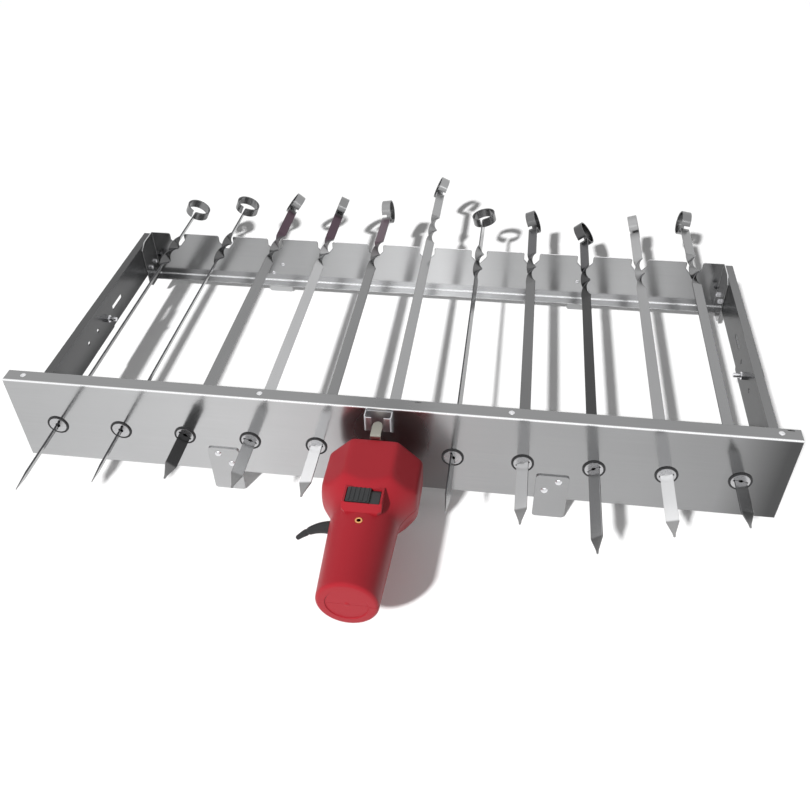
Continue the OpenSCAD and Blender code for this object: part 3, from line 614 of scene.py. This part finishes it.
def strip_section(width, thick, edge):
    """A strip's section as eight points: across the width and through the thickness."""
    w, t, e = width / 2, thick / 2, edge
    return [(w - e, t), (-w + e, t), (-w, t - e), (-w, -t + e),
            (-w + e, -t), (w - e, -t), (w, -t + e), (w, t - e)]


def straight_stations():
    """Place along the strip, width, thickness and turn, from the tip to the twist's end."""
    stations = [(0.0, TIP_W, TIP_T, 0.0), (TIP_LEN, TIP_END_W, POINT_T, 0.0)]
    for i in range(1, POINT_STEPS):
        share = i / POINT_STEPS
        thick = POINT_T + (BLADE_T - POINT_T) * share
        stations.append((POINT_LEN * share, BLADE_W * share, thick, 0.0))
    stations.append((POINT_LEN, BLADE_W, BLADE_T, 0.0))
    stations.append((TWIST_FROM - TWIST_LEAD, BLADE_W, BLADE_T, 0.0))
    for i in range(TWIST_STEPS + 1):
        share = i / TWIST_STEPS
        stations.append((TWIST_FROM + TWIST_LEN * share, BLADE_W, BLADE_T, 360.0 * share))
    return stations


def eye_path():
    """Middle line of the handle's end: (along, up, direction) down the bend, round the ring."""
    mid_r = RING_R - BLADE_T / 2
    bend_at = RING_CENTRE - mid_r - BEND_R
    path = [(bend_at - BEND_LEAD, 0.0, 0.0)]
    for i in range(BEND_STEPS + 1):
        a = math.radians(90 * i / BEND_STEPS)
        path.append((bend_at + BEND_R * math.sin(a), BEND_R * math.cos(a) - BEND_R,
                     -math.degrees(a)))
    start = math.asin((BEND_R + BEND_CLEAR) / mid_r)
    end = math.asin((BLADE_T / 2 + RING_GAP) / mid_r)
    for i in range(RING_STEPS + 1):
        a = math.pi - start - (2 * math.pi - start - end) * i / RING_STEPS
        path.append((RING_CENTRE + mid_r * math.cos(a), -mid_r * math.sin(a),
                     90 - math.degrees(a)))
    return path


def cos_sin(degrees):
    """The cosine and the sine of an angle in degrees."""
    return math.cos(math.radians(degrees)), math.sin(math.radians(degrees))


def skewer_points():
    """Rings of eight points along the whole skewer, tip at zero, lying flat along +Y."""
    rings = []
    for s, width, thick, turn in straight_stations():
        c, n = cos_sin(turn)
        section = strip_section(width, thick, min(EDGE_BREAK, thick * 0.3))
        rings.append([(a * c + b * n, s, b * c - a * n) for a, b in section])
    section = strip_section(BLADE_W, BLADE_T, EDGE_BREAK)
    for along, up, heading in eye_path():
        c, n = cos_sin(heading)
        rings.append([(a, along - b * n, up + b * c) for a, b in section])
    return rings


SKEWER_RINGS = skewer_points()
SECTION_POINTS = len(SKEWER_RINGS[0])
print("a skewer has", len(SKEWER_RINGS), "rings of", SECTION_POINTS, "points")

# %% [markdown]
# The long narrow faces that close a skewer's section at its sides get painted shade: a very dark
# steel that draws the dark edges of the blades. The freshly cut end of the ring shines. Both get
# a material slot of their own, and the points' numbers say which face is which.

# %% Build the skewers
SIDE_POINTS = ({2, 3}, {6, 7})
SLOT_EDGE, SLOT_CUT = 1, 2


def build_skewer(k):
    """Skewer k, turned like its bush and pushed in as far as it is."""
    c, n = cos_sin(SLOT_ANGLE[k - 1])
    points = []
    for ring in SKEWER_RINGS:
        for x, y, z in ring:
            points.append((station_x(k) + x * c - z * n, y - TIP_OUT[k - 1],
                           AXIS_Z + x * n + z * c))
    tones = [grey(OUTSIDE[k - 1]), grey(INSIDE[k - 1]), HANDLE[k - 1], grey(RING[k - 1])]
    steel = strip_steel(f"strip_steel_{k}", k, tones, METALLIC[k - 1])
    faces = tube_faces(len(SKEWER_RINGS), SECTION_POINTS)
    piece = new_piece(f"skewer_strip_{k}", points, faces, steel, f"skewer_{k}",
                      "skewer_steel", [f"skewer_{k}"], 28.0)
    piece.data.materials.append(shaded_strip_edge)
    piece.data.materials.append(cut_end)
    for face in piece.data.polygons:
        if len(face.vertices) == SECTION_POINTS:
            face.material_index = SLOT_CUT
        elif {v % SECTION_POINTS for v in face.vertices} in SIDE_POINTS:
            face.material_index = SLOT_EDGE


for k in each:
    build_skewer(k)

# %% [markdown]
# ## Turned pieces
#
# The bearing rings are moulded and the socket ring is turned on a lathe, but all are round. A
# cylinder with its edges cut would leave out their lips, so one profile goes round an axis.
# `lathe` does that for any axis, and it makes the drills for the motor's shell as well.

# %% Lathe


def lathe(profile, centre, axis, around):
    """Points and faces of a closed profile of (radius, along) pairs turned about an axis."""
    axis = Vector(axis).normalized()
    side = axis.orthogonal().normalized()
    other = axis.cross(side)
    points, faces = [], []
    for r, along in profile:
        for j in range(around):
            a = 2 * math.pi * j / around
            p = Vector(centre) + axis * along + (side * math.cos(a) + other * math.sin(a)) * r
            points.append(tuple(p))
    rows = len(profile)
    for i in range(rows):
        step = ((i + 1) % rows - i) * around
        for j in range(around):
            a, b = i * around + j, i * around + (j + 1) % around
            faces.append((a, b, b + step, a + step))
    return points, faces


def join_parts(parts):
    """Several (points, faces) as one."""
    points, faces = [], []
    for part_points, part_faces in parts:
        shift = len(points)
        points += part_points
        faces += [tuple(i + shift for i in face) for face in part_faces]
    return points, faces


# %% Bearing rings
BEARING_R, BORE_R, SLEEVE_R = 13.0, 10.55, 12.0
FLANGE_T = 1.5
LIP_IN, LIP_R = 0.35, 0.7
LIP_STEPS = 6
SLEEVE_IN = 3.2
COVER_BACK = 17.7
REAR_SLEEVE_FROM = 11.6
RING_AROUND = 40


def bearing_profile(face, sign, inner_end):
    """Flange with a round lip outside the sheet, sleeve inside; sign points outwards."""
    inner = BORE_R + LIP_IN
    profile = [(BORE_R, face), (inner, face + sign * FLANGE_T * 0.8)]
    for i in range(LIP_STEPS + 1):
        c, n = cos_sin(180 - 180 * i / LIP_STEPS)
        profile.append(((BEARING_R + inner) / 2 + (BEARING_R - inner) / 2 * c,
                        face + sign * (FLANGE_T - LIP_R + LIP_R * n)))
    return profile + [(BEARING_R, face), (SLEEVE_R, face), (SLEEVE_R, inner_end),
                      (BORE_R, inner_end)]


rings = []
for k in each:
    for profile in (bearing_profile(0.0, -1, SLEEVE_IN),
                    bearing_profile(COVER_BACK, 1, REAR_SLEEVE_FROM)):
        rings.append(lathe(profile, (station_x(k), 0.0, AXIS_Z), (0, 1, 0), RING_AROUND))
new_piece("bearing_rings", *join_parts(rings), bearing_black, "front", "bearing_black",
          ["bearings"])

# %% [markdown]
# ## The motor's shell
#
# The moulded shell starts as an eight-sided head and runs into a round grip. Two things meet
# in it: the flats of the head and a turned form that shrinks along its length. For every
# direction round the axis the shell takes whichever is nearer, and a high power mean blends
# them, which gives the soft moulded ridges of the real one.

# %% Shell sizes
MOTOR_X = -3.5
HEAD_Y, END_Y = -30.0, -216.0
HEAD_HALF_W, HEAD_TOP, TOP_HALF_W, SIDE_Z = 54.0, 47.0, 25.5, 19.5
SIDE_LEAN = 1.0
TAPER_FROM, TAPER_TO = -60.0, -118.0
HEAD_R, GRIP_R, GRIP_END_R = 62.0, 36.5, 32.0
RIM_R = 4.0
WALL = 2.5
SEAM = 0.3
SHARPNESS = 42
EDGE_ON = 0.05
AXIS_R = 0.05


def flats():
    """The head's flats as (direction in radians, distance) pairs."""
    found = []
    corners = [(TOP_HALF_W, HEAD_TOP), (HEAD_HALF_W - SIDE_LEAN, SIDE_Z), (HEAD_HALF_W, 0.0)]
    for (x0, z0), (x1, z1) in zip(corners, corners[1:]):
        nx, nz = z0 - z1, x1 - x0
        length = math.hypot(nx, nz)
        nx, nz = nx / length, nz / length
        for sx in (1, -1):
            for sz in (1, -1):
                found.append((math.atan2(nz * sz, nx * sx), nx * x0 + nz * z0))
    for sz in (1, -1):
        found.append((math.pi / 2 * sz, HEAD_TOP))
    return found


FLATS = flats()


def turned_r(y):
    """Radius of the turned form at y."""
    if y >= TAPER_FROM:
        return HEAD_R
    if y >= TAPER_TO:
        t = (y - TAPER_FROM) / (TAPER_TO - TAPER_FROM)
        return GRIP_R + (HEAD_R - GRIP_R) * (1 + math.cos(math.pi * t)) / 2
    return GRIP_R + (GRIP_END_R - GRIP_R) * (y - TAPER_TO) / (END_Y + RIM_R - TAPER_TO)


def shell_r(angle, y, inset):
    """Distance of the shell from its axis in a direction, drawn in by inset."""
    total = (turned_r(y) - inset) ** -SHARPNESS
    for direction, distance in FLATS:
        facing = math.cos(angle - direction)
        if facing > EDGE_ON:
            total += ((distance - inset) / facing) ** -SHARPNESS
    return total ** (-1 / SHARPNESS)


print("the head has", len(FLATS), "flats")

# %% [markdown]
# The shell is written down as rings, from the rear of the head to the end of the grip, each
# with an outer and an inner line. A line that follows the shell is marked "i" and has an
# inset. A plain circle, as in the flat ends, is marked "r" and has a radius.

# %% Shell stations
END_RECESS_R, END_RECESS, RECESS_EDGE = 22.0, 1.0, 0.3
BUTTON = ((0.0, 3.0), (0.5, 2.2), (0.7, 1.2), (0.7, AXIS_R))
HEAD_FACE_IN = 12.0
REAR_EDGE = 2.0
REAR_STEPS, RIM_STEPS = 4, 6
HEAD_ROWS, TAPER_ROWS, GRIP_ROWS = 6, 30, 14


def shell_ys():
    """Places along the shell between its rear edge and its rim."""
    ys = [HEAD_Y - 4 - 22 * i / HEAD_ROWS for i in range(1, HEAD_ROWS + 1)]
    ys += [TAPER_FROM + 4 + (TAPER_TO - TAPER_FROM - 8) * i / TAPER_ROWS
           for i in range(TAPER_ROWS + 1)]
    ys += [TAPER_TO - 4 - (TAPER_TO - 4 - END_Y - RIM_R) * i / GRIP_ROWS
           for i in range(GRIP_ROWS + 1)]
    return ys


def shell_stations():
    """Pairs of outer and inner (kind, y, inset or radius), from the head's rear to the end."""
    rows = [(("r", HEAD_Y, AXIS_R), ("r", HEAD_Y - WALL, AXIS_R)),
            (("i", HEAD_Y, HEAD_FACE_IN), ("i", HEAD_Y - WALL, HEAD_FACE_IN)),
            (("i", HEAD_Y, REAR_EDGE), ("i", HEAD_Y - WALL, REAR_EDGE + WALL))]
    for i in range(1, REAR_STEPS + 1):
        c, n = cos_sin(90 * i / REAR_STEPS)
        rows.append((("i", HEAD_Y - REAR_EDGE * (1 - c), REAR_EDGE * (1 - n)),
                     ("i", HEAD_Y - WALL, WALL)))
    for y in shell_ys():
        rows.append((("i", y, 0.0), ("i", max(y, END_Y + WALL), WALL)))
    for i in range(1, RIM_STEPS + 1):
        c, n = cos_sin(90 * i / RIM_STEPS)
        rows.append((("i", END_Y + RIM_R - RIM_R * n, RIM_R * (1 - c)),
                     ("i", END_Y + WALL, WALL + RIM_R * (1 - c))))
    floor_y = END_Y + END_RECESS
    end = [(END_Y, END_RECESS_R + RECESS_EDGE), (END_Y + RECESS_EDGE, END_RECESS_R),
           (floor_y, END_RECESS_R - RECESS_EDGE)]
    for y, r in end + [(floor_y - height, r) for height, r in BUTTON]:
        rows.append((("r", y, r), ("r", END_Y + WALL + 1, r)))
    return rows


# %% Points and faces of a half
SEAM_CHAMFER = 0.35
SHELL_STEPS = 120
SEAM_ANGLE = 1.2
LEAST_X = 0.02


def shell_angles():
    """Directions from seam to seam over the upper half."""
    inner = [math.radians(SEAM_ANGLE + (180 - 2 * SEAM_ANGLE) * i / SHELL_STEPS)
             for i in range(SHELL_STEPS + 1)]
    return [0.0] + inner + [math.pi]


def shell_points(rows, angles, sign):
    """Points of the rows: the outer line and then the inner line of each."""
    points = []
    for row in rows:
        for inside, (kind, y, amount) in enumerate(row):
            chamfer = SEAM_CHAMFER if kind == "i" and not inside else 0.0
            for angle in angles:
                r = shell_r(angle, y, amount) if kind == "i" else amount
                x, z = r * math.cos(angle), r * math.sin(angle)
                if angle in (angles[0], angles[-1]):
                    x = math.copysign(max(abs(x) - chamfer, LEAST_X), math.cos(angle))
                    z = SEAM / 2
                points.append((MOTOR_X + x, y, AXIS_Z + sign * max(z, SEAM / 2)))
    return points


def shell_half(sign):
    """Closed upper (sign 1) or lower (-1) half of the shell as points and faces."""
    rows, angles = shell_stations(), shell_angles()
    count = len(angles)
    wide = 2 * count
    faces = []
    for i in range(len(rows) - 1):
        for side in (0, 1):
            for j in range(count - 1):
                a = i * wide + side * count + j
                faces.append((a, a + 1, a + 1 + wide, a + wide))
        for j in (0, count - 1):
            a = i * wide + j
            faces.append((a, a + count, a + count + wide, a + wide))
    for i in (0, len(rows) - 1):
        for j in range(count - 1):
            a = i * wide + j
            faces.append((a, a + 1, a + 1 + count, a + count))
    return shell_points(rows, angles, sign), faces


print("the shell has", len(shell_stations()), "rows of", len(shell_angles()), "directions")

# %% [markdown]
# ## Cutting and joining
#
# The switch opening, the socket hole, the boot's seat and the screw pockets are cut from the
# shell with boolean modifiers, as the mould's cores would leave them. The modifiers are
# applied at once, so the piece ends as plain geometry.

# %% Boolean helpers
DRILL_CORE = 0.01


def combine(piece, tool, operation):
    """Cuts the tool from the piece, or joins it, and removes the tool."""
    step = piece.modifiers.new(operation, "BOOLEAN")
    step.operation = operation
    step.solver = "EXACT"
    step.object = tool
    graph = bpy.context.evaluated_depsgraph_get()
    mesh = bpy.data.meshes.new_from_object(piece.evaluated_get(graph))
    piece.modifiers.clear()
    piece.data = mesh
    bpy.data.objects.remove(tool)


def round_box(low, high, radius, segments=3):
    """A box with round edges, from its low and high corner in the object's millimetres."""
    mesh = bpy.data.meshes.new("round_box")
    work = bmesh.new()
    bmesh.ops.create_cube(work, size=1.0)
    middle = (place(*low) + place(*high)) / 2
    size = (Vector(high) - Vector(low)) * MM
    for v in work.verts:
        v.co = Vector((v.co.x * size.x, v.co.y * size.y, v.co.z * size.z)) + middle
    bmesh.ops.bevel(work, geom=list(work.edges), offset=radius * MM, segments=segments,
                    profile=0.5, affect="EDGES")
    work.to_mesh(mesh)
    work.free()
    made = bpy.data.objects.new("round_box", mesh)
    bpy.context.scene.collection.objects.link(made)
    return made


def drill(piece, radius, start, end, around=40):
    """Cuts a round hole from start to end."""
    length = (Vector(end) - Vector(start)).length
    profile = [(DRILL_CORE, 0.0), (radius, 0.0), (radius, length), (DRILL_CORE, length)]
    points, faces = lathe(profile, start, Vector(end) - Vector(start), around)
    combine(piece, raw_mesh("drill", points, faces), "DIFFERENCE")


# %% [markdown]
# The bezel of the switch is a low block with cut front corners and a long bare slope. It is
# drawn as a plan outline whose front drops, then joined to the upper shell.

# %% Bezel block
BEZEL_HALF, BEZEL_TOP = 21.0, 42.0
BEZEL_CORNER, BEZEL_TOP_CORNER, BEZEL_EDGE = 4.0, 1.5, 0.5
BEZEL_FOOT, SLOPE_FOOT, SLOPE_RUN = 33.0, 36.0, 6.5
SWITCH_MID = -109.5
SWITCH_W, SWITCH_L = 37.0, 21.0
BEZEL_REAR = SWITCH_MID + SWITCH_L / 2 + 2.5
BEZEL_FRONT = SWITCH_MID - SWITCH_L / 2 - 7.5


def bezel_outline(front, corner_y):
    """The block's plan, whose front corners are cut off back to corner_y."""
    cut = BEZEL_HALF - BEZEL_CORNER
    return [(-BEZEL_HALF, BEZEL_REAR), (-BEZEL_HALF, corner_y), (-cut, front),
            (cut, front), (BEZEL_HALF, corner_y), (BEZEL_HALF, BEZEL_REAR)]


def bezel_block():
    """Closed block: a plan outline at four heights, drawn in towards the top."""
    slope_top = BEZEL_FRONT + SLOPE_RUN
    low = bezel_outline(BEZEL_FRONT, BEZEL_FRONT + BEZEL_CORNER)
    high = bezel_outline(slope_top, slope_top + BEZEL_TOP_CORNER)
    rows = [(low, BEZEL_FOOT, 0.0), (low, SLOPE_FOOT, 0.0),
            (high, BEZEL_TOP - BEZEL_EDGE, 0.0), (high, BEZEL_TOP, BEZEL_EDGE)]
    points = []
    for outline, z, inset in rows:
        for x, y in outline:
            forward = inset if y < SWITCH_MID else 0
            points.append((MOTOR_X + x - math.copysign(inset, x), y + forward, AXIS_Z + z))
    return points, tube_faces(len(rows), len(low))


print("the bezel runs from", BEZEL_FRONT, "to", BEZEL_REAR)

# %% Build both halves of the shell
HEAD_POSTS = [(s * 42.0, y) for s in (1, -1) for y in (-39.0, -76.0)]
GRIP_POSTS = [(s * 21.0, -207.0) for s in (1, -1)]
POCKET_R, POCKET_FROM, POCKET_TO = 3.2, -50, -12
SHAFT_HOLE_R = 9.05
BOOT_Y, BOOT_SEAT_R, BOOT_SEAT = -121.0, 7.3, (-62, -30)
JACK_Y, JACK_HOLE_R, JACK_FLOOR = -138.0, 4.1, 28
OPENING_FLOOR, OPENING_TOP, OPENING_EDGE = 27.7, 62, 1.2


def open_top(half):
    """Joins the bezel to the upper half and cuts the switch's opening and the socket's hole."""
    combine(half, raw_mesh("bezel", *bezel_block()), "UNION")
    opening = round_box(
        (MOTOR_X - SWITCH_W / 2, SWITCH_MID - SWITCH_L / 2, AXIS_Z + OPENING_FLOOR),
        (MOTOR_X + SWITCH_W / 2, SWITCH_MID + SWITCH_L / 2, AXIS_Z + OPENING_TOP), OPENING_EDGE, 4)
    combine(half, opening, "DIFFERENCE")
    drill(half, JACK_HOLE_R, (MOTOR_X, JACK_Y, AXIS_Z + JACK_FLOOR),
          (MOTOR_X, JACK_Y, AXIS_Z + BEZEL_TOP))


def build_shell(sign, name, stands_for):
    """One half of the shell with its openings."""
    half = raw_mesh(name, *shell_half(sign))
    if sign > 0:
        open_top(half)
    drill(half, SHAFT_HOLE_R, (0, HEAD_Y + 1, AXIS_Z), (0, HEAD_Y - WALL - 1, AXIS_Z))
    drill(half, BOOT_SEAT_R, *[(x, BOOT_Y, AXIS_Z) for x in BOOT_SEAT])
    if sign < 0:
        for x, y in HEAD_POSTS + GRIP_POSTS:
            drill(half, POCKET_R, (MOTOR_X + x, y, AXIS_Z + POCKET_FROM),
                  (MOTOR_X + x, y, AXIS_Z + POCKET_TO), 24)
    finish_piece(half, shell_red, "motor", "housing_red", stands_for, 30.0)


build_shell(1, "shell_upper", ["housing_upper"])
build_shell(-1, "shell_lower", ["housing_lower"])

# %% [markdown]
# ## Switch, boot, socket and tongue
#
# The switch is a black tray with a sliding knob whose ribs give the thumb a hold. The cord
# boot is a soft tapered nozzle with a groove. The socket ring is turned brass, and the tongue
# is a nickel plated strip bent over the back of the head.

# %% Switch
SWITCH_TOP = AXIS_Z + 40.0
TRAY_GAP, TRAY_DEPTH = 0.3, 12
TRAY_HALF_W, TRAY_HALF_L = SWITCH_W / 2 - TRAY_GAP, SWITCH_L / 2 - TRAY_GAP
KNOB_W, KNOB_H, KNOB_HALF_L = 25.0, 4.3, 10
KNOB_FROM = MOTOR_X - SWITCH_W / 2 + 1
KNOB_FOOT = SWITCH_TOP + 0.3
KNOB_TOP = KNOB_FOOT + KNOB_H
RIBS, RIB_FIRST, RIB_PITCH, RIB_HALF_W, RIB_HALF_L, RIB_H = 5, 3.0, 4.75, 1.1, 9.2, 2.0
TRACK_SPAN, TRACK_HALF_L, TRACK_DEPTH = (KNOB_FROM + 9.2, KNOB_FROM + 24.8), 4.3, 5.3
STEM_SPAN, STEM_HALF_L, STEM_DEPTH = (KNOB_FROM + 9.5, KNOB_FROM + 15.5), 4, 4.7


def switch_box(x_span, half_l, z_span, radius, segments=3):
    """A round box across the switch's middle line, from its x and z spans."""
    return round_box((x_span[0], SWITCH_MID - half_l, z_span[0]),
                     (x_span[1], SWITCH_MID + half_l, z_span[1]), radius, segments)


tray = switch_box((MOTOR_X - TRAY_HALF_W, MOTOR_X + TRAY_HALF_W), TRAY_HALF_L,
                  (SWITCH_TOP - TRAY_DEPTH, SWITCH_TOP), 0.9)
combine(tray, switch_box(TRACK_SPAN, TRACK_HALF_L,
                         (SWITCH_TOP - TRACK_DEPTH, SWITCH_TOP + 2), 0.3, 2), "DIFFERENCE")
tray.name = "switch_tray"
finish_piece(tray, switch_black, "motor", "switch_black", ["switch_body"])

knob = switch_box((KNOB_FROM, KNOB_FROM + KNOB_W), KNOB_HALF_L, (KNOB_FOOT, KNOB_TOP - 1), 0.8)
for i in range(RIBS):
    rib = KNOB_FROM + RIB_FIRST + i * RIB_PITCH
    combine(knob, switch_box((rib - RIB_HALF_W, rib + RIB_HALF_W), RIB_HALF_L,
                             (KNOB_TOP - RIB_H, KNOB_TOP), 0.5), "UNION")
combine(knob, switch_box(STEM_SPAN, STEM_HALF_L,
                         (SWITCH_TOP - STEM_DEPTH, SWITCH_TOP + 1.5), 0.3, 2), "UNION")
knob.name = "switch_slider"
finish_piece(knob, switch_black, "knob", "switch_black", ["switch_knob"])

# %% Cord boot
BOOT_LEN, BOOT_R, BOOT_TAPER = 37.0, 7.25, 4.8
BOOT_BEND = Vector((0, -6, -16))
BOOT_ROOT = Vector((MOTOR_X - turned_r(BOOT_Y) + 1, BOOT_Y, AXIS_Z))
GROOVE_AT, GROOVE_WIDTH, GROOVE_DEPTH = 0.66, 0.03, 0.20
TIP_FROM = 0.96
BOOT_AROUND, BOOT_ROWS, HIDDEN_ROWS = 32, 61, 5


def boot_line(t):
    """Middle line of the boot, bending down and forward."""
    return BOOT_ROOT + Vector((-BOOT_LEN * t, 0, 0)) + BOOT_BEND * (t * t)


def boot_radius(t):
    """Thins along its length, with a groove and a round end."""
    groove = GROOVE_DEPTH * math.exp(-((t - GROOVE_AT) / GROOVE_WIDTH) ** 2)
    tip = math.sqrt(max(0.0, 1 - max(0.0, (t - TIP_FROM) / (1 - TIP_FROM)) ** 2))
    return max(0.02, (BOOT_R - BOOT_TAPER * t) * (1 - groove) * tip)


def boot_ring(i):
    """Ring i of the boot; those below zero stand inside the shell, a millimetre apart."""
    t, hidden = max(i, 0) / (BOOT_ROWS - 1), max(-i, 0)
    axis = (boot_line(t + 0.01) - boot_line(t)).normalized()
    across = axis.cross(Vector((0, 0, 1))).normalized()
    up = across.cross(axis)
    middle = boot_line(t) + Vector((hidden, 0, 0))
    r = boot_radius(t) - (0.05 if hidden else 0.0)
    turns = [2 * math.pi * j / BOOT_AROUND for j in range(BOOT_AROUND)]
    return [tuple(middle + (across * math.cos(a) + up * math.sin(a)) * r) for a in turns]


boot_points = [p for i in range(-HIDDEN_ROWS, BOOT_ROWS) for p in boot_ring(i)]
new_piece("cord_boot_soft", boot_points, tube_faces(BOOT_ROWS + HIDDEN_ROWS, BOOT_AROUND),
          boot_black, "motor", "boot_black", ["cord_boot"], 50.0)

# %% Socket ring
JACK_R, JACK_BORE, JACK_DEPTH = 4.0, 2.1, -4.0
JACK_ROUND, JACK_LIP = 0.8, 0.45

jack_top = AXIS_Z + turned_r(JACK_Y)
jack_profile = [(JACK_BORE, JACK_DEPTH), (JACK_R, JACK_DEPTH), (JACK_R, JACK_LIP)]
for i in range(1, 5):
    c, n = cos_sin(90 * i / 4)
    jack_profile.append((JACK_R - JACK_ROUND + JACK_ROUND * c, JACK_LIP + JACK_LIP * n))
jack_profile += [(2.5, 2 * JACK_LIP), (JACK_BORE, 0.6)]
new_piece("socket_ring", *lathe(jack_profile, (MOTOR_X, JACK_Y, jack_top), (0, 0, 1), 40),
          socket_brass, "motor", "ring_brass", ["jack_ring"])

# %% Tongue
TONGUE_W, TONGUE_T = 12.0, 3.0
TONGUE_TOP, TONGUE_REACH, TONGUE_LEG = 107.0, 23.0, 23.0
TONGUE_BEND, TONGUE_EDGE = 1.6, 0.5


def tongue_path():
    """(y, z, direction, width) up the back of the head, round the bend and to the end."""
    middle_z = TONGUE_TOP - TONGUE_T / 2
    y0 = HEAD_Y + TONGUE_T / 2
    path = [(y0, TONGUE_TOP - TONGUE_LEG, 90.0, TONGUE_W)]
    for i in range(7):
        c, n = cos_sin(90 * i / 6)
        path.append((y0 + TONGUE_BEND - TONGUE_BEND * c, middle_z - TONGUE_BEND + TONGUE_BEND * n,
                     90 - 90 * i / 6, TONGUE_W))
    round_from = HEAD_Y + TONGUE_REACH - TONGUE_W / 2
    for i in range(10):
        c, n = cos_sin(88 * i / 9)
        path.append((round_from + TONGUE_W / 2 * n, middle_z, 0.0, TONGUE_W * c))
    return path


def tongue_mesh():
    """A strip that climbs the back of the head, bends to the rear and ends round."""
    points, path = [], tongue_path()
    for y, z, heading, width in path:
        c, n = cos_sin(heading)
        section = strip_section(width, TONGUE_T, min(TONGUE_EDGE, width / 4))
        points += [(MOTOR_X + a, y - b * n, z + b * c) for a, b in section]
    return points, tube_faces(len(path), SECTION_POINTS)


new_piece("tongue_strip", *tongue_mesh(), tongue_plate, "motor", "tongue_ivory",
          ["hanger_tongue"])

# %% [markdown]
# ## The studio
#
# The grill stands on a plain white floor that runs to the horizon. It keeps the shadows, and
# a faint glow that only the camera and reflections see lifts it to white.

# %% Floor
FLOOR_HALF = 40.0
FLOOR_WHITE = (0.90, 0.90, 0.90)
FLOOR_GLOW = 0.10


def plain_floor():
    """A wide white floor that keeps the shadows and never looks grey."""
    finish = Finish("floor_white", {"Base Color": FLOOR_WHITE, "Roughness": 0.7,
                                    "Specular IOR Level": 0.0})
    glow = finish.node("Emission", {}, {"Color": (1.0, 1.0, 1.0), "Strength": FLOOR_GLOW})
    none = finish.node("Emission", {}, {"Color": (0.0, 0.0, 0.0), "Strength": 0.0})
    chosen = finish.node("MixShader", {}, [finish.seen(), none, glow])
    both = finish.node("AddShader", {}, [Value(finish, finish.shader.outputs[0]), chosen])
    finish.give(finish.tree.nodes["Material Output"].inputs["Surface"], both)
    corners = [(x * FLOOR_HALF, y * FLOOR_HALF, 0)
               for x, y in ((-1, -1), (1, -1), (1, 1), (-1, 1))]
    mesh = bpy.data.meshes.new("floor")
    mesh.from_pydata(corners, [], [(0, 1, 2, 3)])
    floor = bpy.data.objects.new("floor", mesh)
    mesh.materials.append(finish.material)
    bpy.context.scene.collection.objects.link(floor)


plain_floor()
print("floor of", 2 * FLOOR_HALF, "m")

# %% [markdown]
# The key lamp is a sun from the front left, and its small angle keeps the edges of the
# shadows clear. It stays out of reflections, because a polished sheet would show it as a hard
# spot. A broad lamp above fills the shadows, and a long narrow one in front lays a highlight
# along the row.

# %% Lamps
KEY_TOWARDS = (0.50, 1.12, -1.0)
KEY_POWER = 4.6
KEY_ANGLE = 3.2


def add_light(name, data, towards):
    """Hangs up a lamp that shines in a direction."""
    made = bpy.data.objects.new(name, data)
    made.rotation_euler = towards.to_track_quat("-Z", "Y").to_euler()
    bpy.context.scene.collection.objects.link(made)
    print(name, "shines with", data.energy)
    return made


def lamp(name, where, target, size, power, size_y=None):
    """A soft area lamp that looks at a target; places in the object's millimetres."""
    data = bpy.data.lights.new(name, "AREA")
    data.energy = power
    data.size = size
    if size_y:
        data.shape = "RECTANGLE"
        data.size_y = size_y
    spot = place(*where)
    add_light(name, data, place(*target) - spot).location = spot


key_data = bpy.data.lights.new("key", "SUN")
key_data.energy = KEY_POWER
key_data.angle = math.radians(KEY_ANGLE)
add_light("key", key_data, Vector(KEY_TOWARDS)).visible_glossy = False
lamp("top_fill", where=(-300, 700, 2100), target=(0, 200, 50), size=1.6, power=2.0)
lamp("strip_light", where=(150, -1050, 1500), target=(0, 0, 60), size=2.4, power=4.5, size_y=0.3)

# %% [markdown]
# The world is white for the camera and for reflections, which gives the steel something pale
# to mirror. For everything else it is only a weak grey light, so that the lamps make the
# shadows.

# %% World
DIM_GREY = (0.8, 0.8, 0.8)
DIM_STRENGTH = 0.07

world = bpy.data.worlds.new("studio")
bpy.context.scene.world = world
world.use_nodes = True
world.node_tree.nodes.clear()
sky = NodeMaker(world.node_tree)
white = sky.node("Background", {}, {"Color": (1.0, 1.0, 1.0), "Strength": 1.0})
dim = sky.node("Background", {}, {"Color": DIM_GREY, "Strength": DIM_STRENGTH})
chosen = sky.node("MixShader", {}, [sky.seen(), dim, white])
sky.node("OutputWorld", {}, {"Surface": chosen})

bpy.context.scene.view_settings.view_transform = "Standard"
print("world has", len(world.node_tree.nodes), "nodes")
